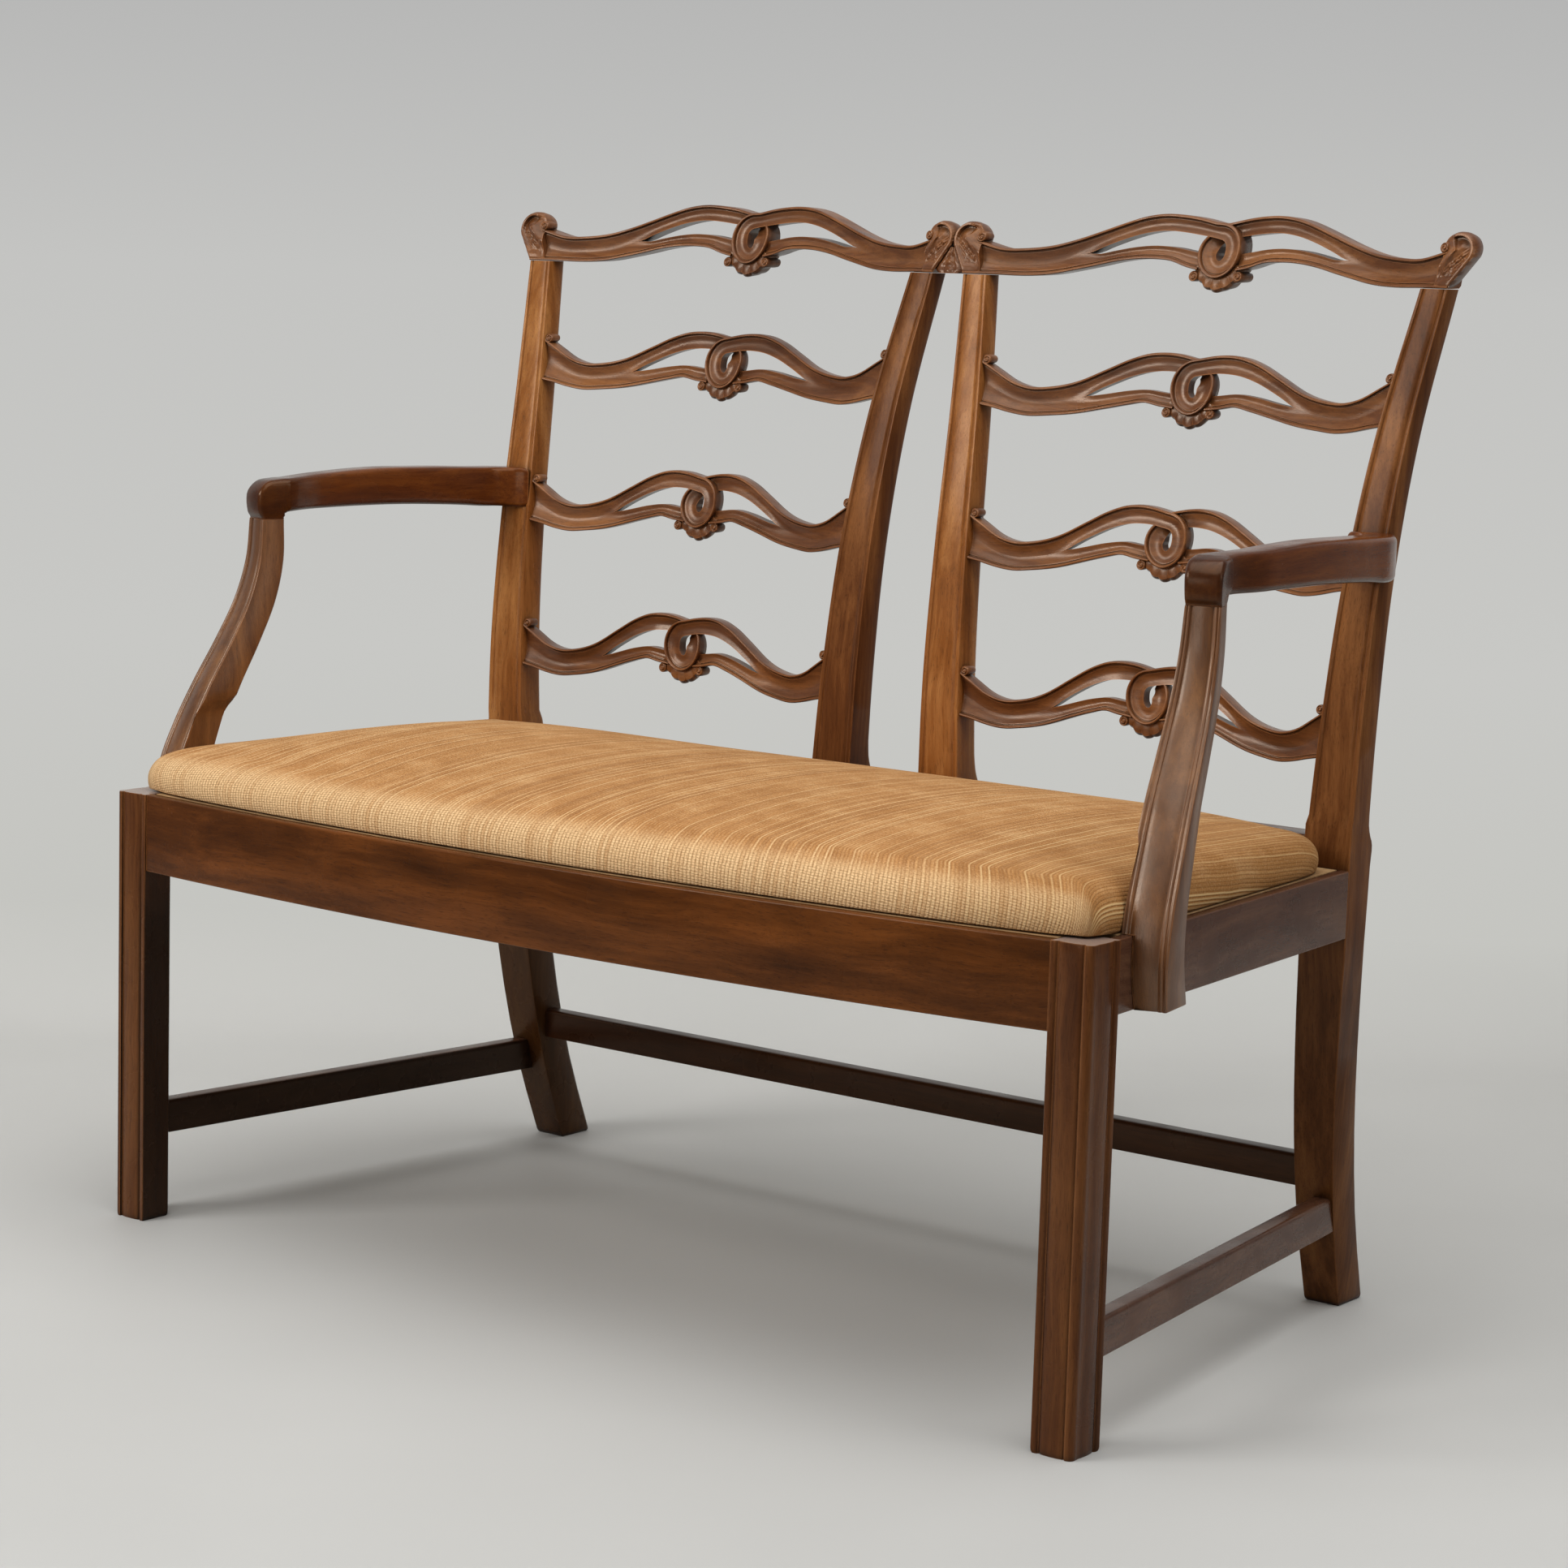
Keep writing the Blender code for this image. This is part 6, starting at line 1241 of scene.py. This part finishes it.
def seat_webbing(finish):
    """Four long bands and nine cross bands of webbing, woven over and under and tacked to the frame."""
    front = seat_front_edge(HALF_WIDTH - LEG_WIDTH - SEAT_GAP) + BAR_WIDTH + FIT - BAND_HOLD
    rear = SEAT_DEPTH - SEAT_GAP - BAR_WIDTH - FIT + BAND_HOLD
    front_half = seat_side_edge(front + BAND_HOLD) - BAR_WIDTH + BAND_HOLD
    rear_half = seat_side_edge(rear - BAND_HOLD) - BAR_WIDTH + BAND_HOLD
    level = SEAT_HEIGHT + FIT + 0.0009
    row_step = (rear - front - BAND_WIDTH) / (LONG_BANDS - 1)
    half_round = ((1, 1), (0.5, 1.1), (0, 1.1), (-0.5, 1.1), (-1, 1))
    round_band = [(side * way, up * way) for way in (-1, 1) for side, up in half_round]
    shapes = []

    def band(start, end, across, sign, crossings):
        rings = []
        for share in np.linspace(0, 1, 97):
            middle = Vector(start).lerp(Vector(end), share)
            tacked = float(ramp(share, 0, 0.04) * ramp(1 - share, 0, 0.04))
            lift = 0.0007 * sign * sin(pi * share * crossings) * tacked
            rings.append([(*(middle + Vector(across) * (side * BAND_WIDTH / 2)),
                           level + lift + up * (BAND_THICKNESS / 2)) for side, up in round_band])
        return loft(rings)
    for row in range(LONG_BANDS):
        y = front + BAND_WIDTH / 2 + row_step * row
        half = blend(front_half, rear_half, (y - front) / (rear - front))
        shapes.append(band((-half, y), (half, y), (0.0, 1.0), 1 if row % 2 else -1, CROSS_BANDS))
    for column in range(CROSS_BANDS):
        place = 2 * column / (CROSS_BANDS - 1) - 1
        start = (place * (front_half - BAND_WIDTH / 2), front)
        end = (place * (rear_half - BAND_WIDTH / 2), rear)
        shapes.append(band(start, end, (1.0, 0.0), 1 if column % 2 else -1, LONG_BANDS))
    return shown("seat_webbing_bands", shapes, finish, ("seat_webbing",), "drop_in_seat", 60)


# Stage, camera and light

def camera():
    """The photograph's viewpoint: right of the front, looking down a little, turned about its own axis."""
    ahead = Vector((-sin(VIEW_YAW) * cos(VIEW_PITCH), cos(VIEW_YAW) * cos(VIEW_PITCH), -sin(VIEW_PITCH)))
    level = ahead.cross(UPRIGHT).normalized()
    upright = level.cross(ahead)
    right = level * cos(VIEW_ROLL) + upright * sin(VIEW_ROLL)
    up = upright * cos(VIEW_ROLL) - level * sin(VIEW_ROLL)
    data = bpy.data.cameras.new("camera")
    data.lens = VIEW_LENS
    data.sensor_width = 36.0
    data.sensor_fit = "HORIZONTAL"
    viewer = placed("camera", data)
    viewer.matrix_world = Matrix.Translation(VIEWPOINT) @ Matrix((right, up, -ahead)).transposed().to_4x4()
    bpy.context.scene.camera = viewer


def studio_paper():
    """Pale matt background paper, rolled out as the floor and swept up behind.

    To the camera and in reflections, the part that stands up glows with painted grey light, a little darker
    higher up. From behind the paper is clear, so that it hides nothing in a view from that side."""
    finish, tree = new_finish("matt_background_paper")
    place = add(tree, "TexCoord").outputs["Object"]
    tint = add(tree, "TexNoise", {"Vector": place, "Scale": 1.4, "Detail": 3.0})
    paper = add(tree, "ValToRGB", {0: tint}, ((0.35, "#c5c4c0"), (0.65, "#cac9c5")))
    matt = add(tree, "BsdfPrincipled", {"Base Color": paper, "Roughness": 0.6})
    high = add(tree, "SeparateXYZ", {0: place}).outputs[2]
    climb = add(tree, "MapRange", {0: high, 1: 0.0, 2: 1.5})
    # Painted light: the glow that the standing paper shows, darker higher up
    greys = ((0.0, "#c4c4bf"), (0.3, "#c8c8c5"), (0.62, "#c4c4c2"), (1.0, "#aeaeae"))
    painted_wall_glow = add(tree, "ValToRGB", {0: climb}, greys)
    path = add(tree, "LightPath").outputs
    seen = add(tree, "Math", {0: path["Is Camera Ray"], 1: path["Is Glossy Ray"]}, operation="MAXIMUM")
    standing = add(tree, "MapRange", {0: high, 1: 0.0, 2: 0.12})
    amount = add(tree, "Math", {0: seen, 1: standing}, operation="MULTIPLY")
    behind = add(tree, "NewGeometry").outputs["Backfacing"]
    for share, other in ((amount, add(tree, "Emission", {0: painted_wall_glow})), (behind, add(tree, "BsdfTransparent"))):
        matt = add(tree, "MixShader", {0: share, 1: matt, 2: other})
    add(tree, "OutputMaterial", {0: matt})
    return finish


def backdrop():
    """The paper's sweep, square to the view and far enough back for its fold to lie where it should."""
    ahead = Vector((-sin(VIEW_YAW), cos(VIEW_YAW), 0.0))
    across = Vector((cos(VIEW_YAW), sin(VIEW_YAW), 0.0))
    fold = Vector((VIEWPOINT[0], VIEWPOINT[1], 0.0)) + ahead * FOLD_DISTANCE
    line = [(far, 0.0) for far in (-2.95, -2.0, -1.0, -FOLD_RADIUS)]
    line += [(FOLD_RADIUS * (sin(turn) - 1), FOLD_RADIUS * (1 - cos(turn)))
             for turn in np.linspace(0.1, pi / 2, 16)]
    line += [(0.0, 1.5), (0.0, 3.2)]
    points = [tuple(fold + ahead * far + across * side + UPRIGHT * high) for far, high in line
              for side in (-2.2, 2.2)]
    faces = [(2 * index, 2 * index + 1, 2 * index + 3, 2 * index + 2) for index in range(len(line) - 1)]
    paper = placed("background_paper", meshed("background_paper", points, faces, studio_paper()))


def light():
    """Four soft boxes, and a room that is dim for the wood and pale for the camera."""
    for name, place, facing, size, watts in (
            ("key", (-1.7, -3.1, 2.4), (0.0, 0.1, 0.5), (1.7, 1.4), 72),
            ("top", (0.9, -0.4, 3.4), (0.4, 0.0, 0.0), (3.8, 3.4), 94),
            ("fill", (3.4, 0.4, 1.7), (0.2, 0.2, 0.5), (1.4, 1.4), 9),
            ("front", (0.3, -3.6, 1.0), (0.0, 0.0, 0.45), (1.4, 1.0), 10)):
        data = bpy.data.lights.new(name, "AREA")
        data.shape = "RECTANGLE"
        data.size, data.size_y = size
        data.energy = watts
        turn = (Vector(place) - Vector(facing)).to_track_quat("Z", "Y")
        placed(name, data).matrix_world = Matrix.Translation(place) @ turn.to_matrix().to_4x4()
    world = bpy.data.worlds.new("studio")
    world.use_nodes = True
    tree = world.node_tree
    tree.nodes.clear()
    room, beyond = [add(tree, "Background", {0: linear(colour), 1: strength})
                    for colour, strength in (("#e9ebee", 0.22), ("#c4c4c1", 1.0))]
    path = add(tree, "LightPath").outputs["Is Camera Ray"]
    add(tree, "OutputWorld", {0: add(tree, "MixShader", {0: path, 1: room, 2: beyond})})
    bpy.context.scene.world = world
    bpy.context.scene.view_settings.view_transform = "Standard"


# Putting it together

def frame_pieces():
    """Every part of the frame that shows, in its own wood; the left ones are the right ones mirrored."""
    leg_wood = mahogany("french_polished_mahogany_legs", "z", ("#26110a", "#563018", "#7c4d28"),
                        0.5, 0.9, 0.24, low=0.12, end_grain="#a08a7d", polish=0.2)
    post_wood = mahogany("french_polished_mahogany_posts", "z", ("#3d1c0a", "#8b5325", "#be834a"),
                         0.7, 1.0, 0.26, 0.3, low=0.84)
    # Painted shade: a darker copy of the post wood for the right outer and the left inner posts
    shaded_post_wood = mahogany("french_polished_mahogany_posts_in_painted_shade", "z", ("#2b1208", "#643a1c", "#976236"),
                              0.7, 1.0, 0.36, 1.3, low=0.35, polish=0.12)
    front_wood = mahogany("french_polished_mahogany_front_rail", "x", ("#241006", "#502a0f", "#77421b"),
                          0.6, 1.8, 0.24, 0.7, polish=0.14)
    rail_wood = mahogany("french_polished_mahogany_rails", "y", ("#2a170e", "#513325", "#75523b"),
                         0.45, 0.9, 0.26, 0.5, polish=0.25)
    rear_wood = mahogany("french_polished_mahogany_rear", "x", ("#241108", "#472512", "#6a3d1e"),
                         0.45, 0.7, 0.30, 0.2, low=0.6)
    arm_wood = mahogany("waxed_mahogany_arms", "y", ("#2a1105", "#5c2d10", "#854a1b"),
                        0.6, 1.1, 0.20, 0.9, polish=0.36, front_end_darkening=0.55)
    support_wood = mahogany("waxed_mahogany_supports", "z", ("#301607", "#60381a", "#8d5c30"),
                            0.5, 0.9, 0.36, 0.6, polish=1.0, tint="#f9dfc6")
    carved_wood = mahogany("carved_mahogany", "x", ("#2c1309", "#683c1f", "#9d6639"),
                           0.5, 1.2, 0.32, 0.4, polish=0.6, tint="#f9dfc6")
    for make, right, left, name, node in (
            (front_leg, leg_wood, leg_wood, "front_leg_{}_moulded", "front_leg_{}"),
            (outer_post, shaded_post_wood, post_wood, "outer_post_{}_moulded", "back_post_outer_{}"),
            (inner_post, post_wood, shaded_post_wood, "inner_post_{}_moulded", "back_post_inner_{}"),
            (front_rail, front_wood, None, "front_rail_bowed", "seat_rail_front"),
            (side_rail, rail_wood, rail_wood, "side_rail_{}", "seat_rail_{}"),
            (rear_rail, rear_wood, None, "rear_rail", "seat_rail_rear"),
            (side_stretcher, rail_wood, rail_wood, "side_stretcher_{}", "stretcher_{}"),
            (rear_stretcher, rear_wood, None, "rear_stretcher", "stretcher_rear"),
            (arm_support, support_wood, support_wood, "support_{}_moulded", "arm_support_{}"),
            (arm, arm_wood, arm_wood, "arm_{}_carved", "arm_{}")):
        shown(name.format("right"), make(), right, (node.format("right"),))
        if left:
            shown(name.format("left"), mirrored(make()), left, (node.format("left"),))
    for chair, side in ((-1, "left"), (1, "right")):
        shown(f"crest_{side}_carved", crest_rail(chair), carved_wood, (f"crest_rail_{side}",))
        for row in LADDER_ROWS:
            shown(f"ribbon_rail_{side}_{row}", ladder_rail(row, chair), carved_wood,
                  (f"ladder_rail_{side}_{row}",))
    shown("leaf_block_carved", leaf_block(), carved_wood, ("crest_leaf_block",))


def hidden_pieces():
    """The plain pieces inside keep the solid model's shapes and get their woods and steel."""
    beech = plain_wood("sawn_beech", "x", "#8d6a43", "#c49d6c", 0.72)
    steel = old_steel()
    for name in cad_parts:
        piece = bpy.data.objects.get(name)
        if piece is None or piece.hide_render:
            continue
        for slot in piece.material_slots:
            slot.material = steel if "screw" in name else beech


camera()
backdrop()
light()
frame_pieces()
seat_pad(ribbed_velvet())
seat_webbing(webbing_jute())
hidden_pieces()
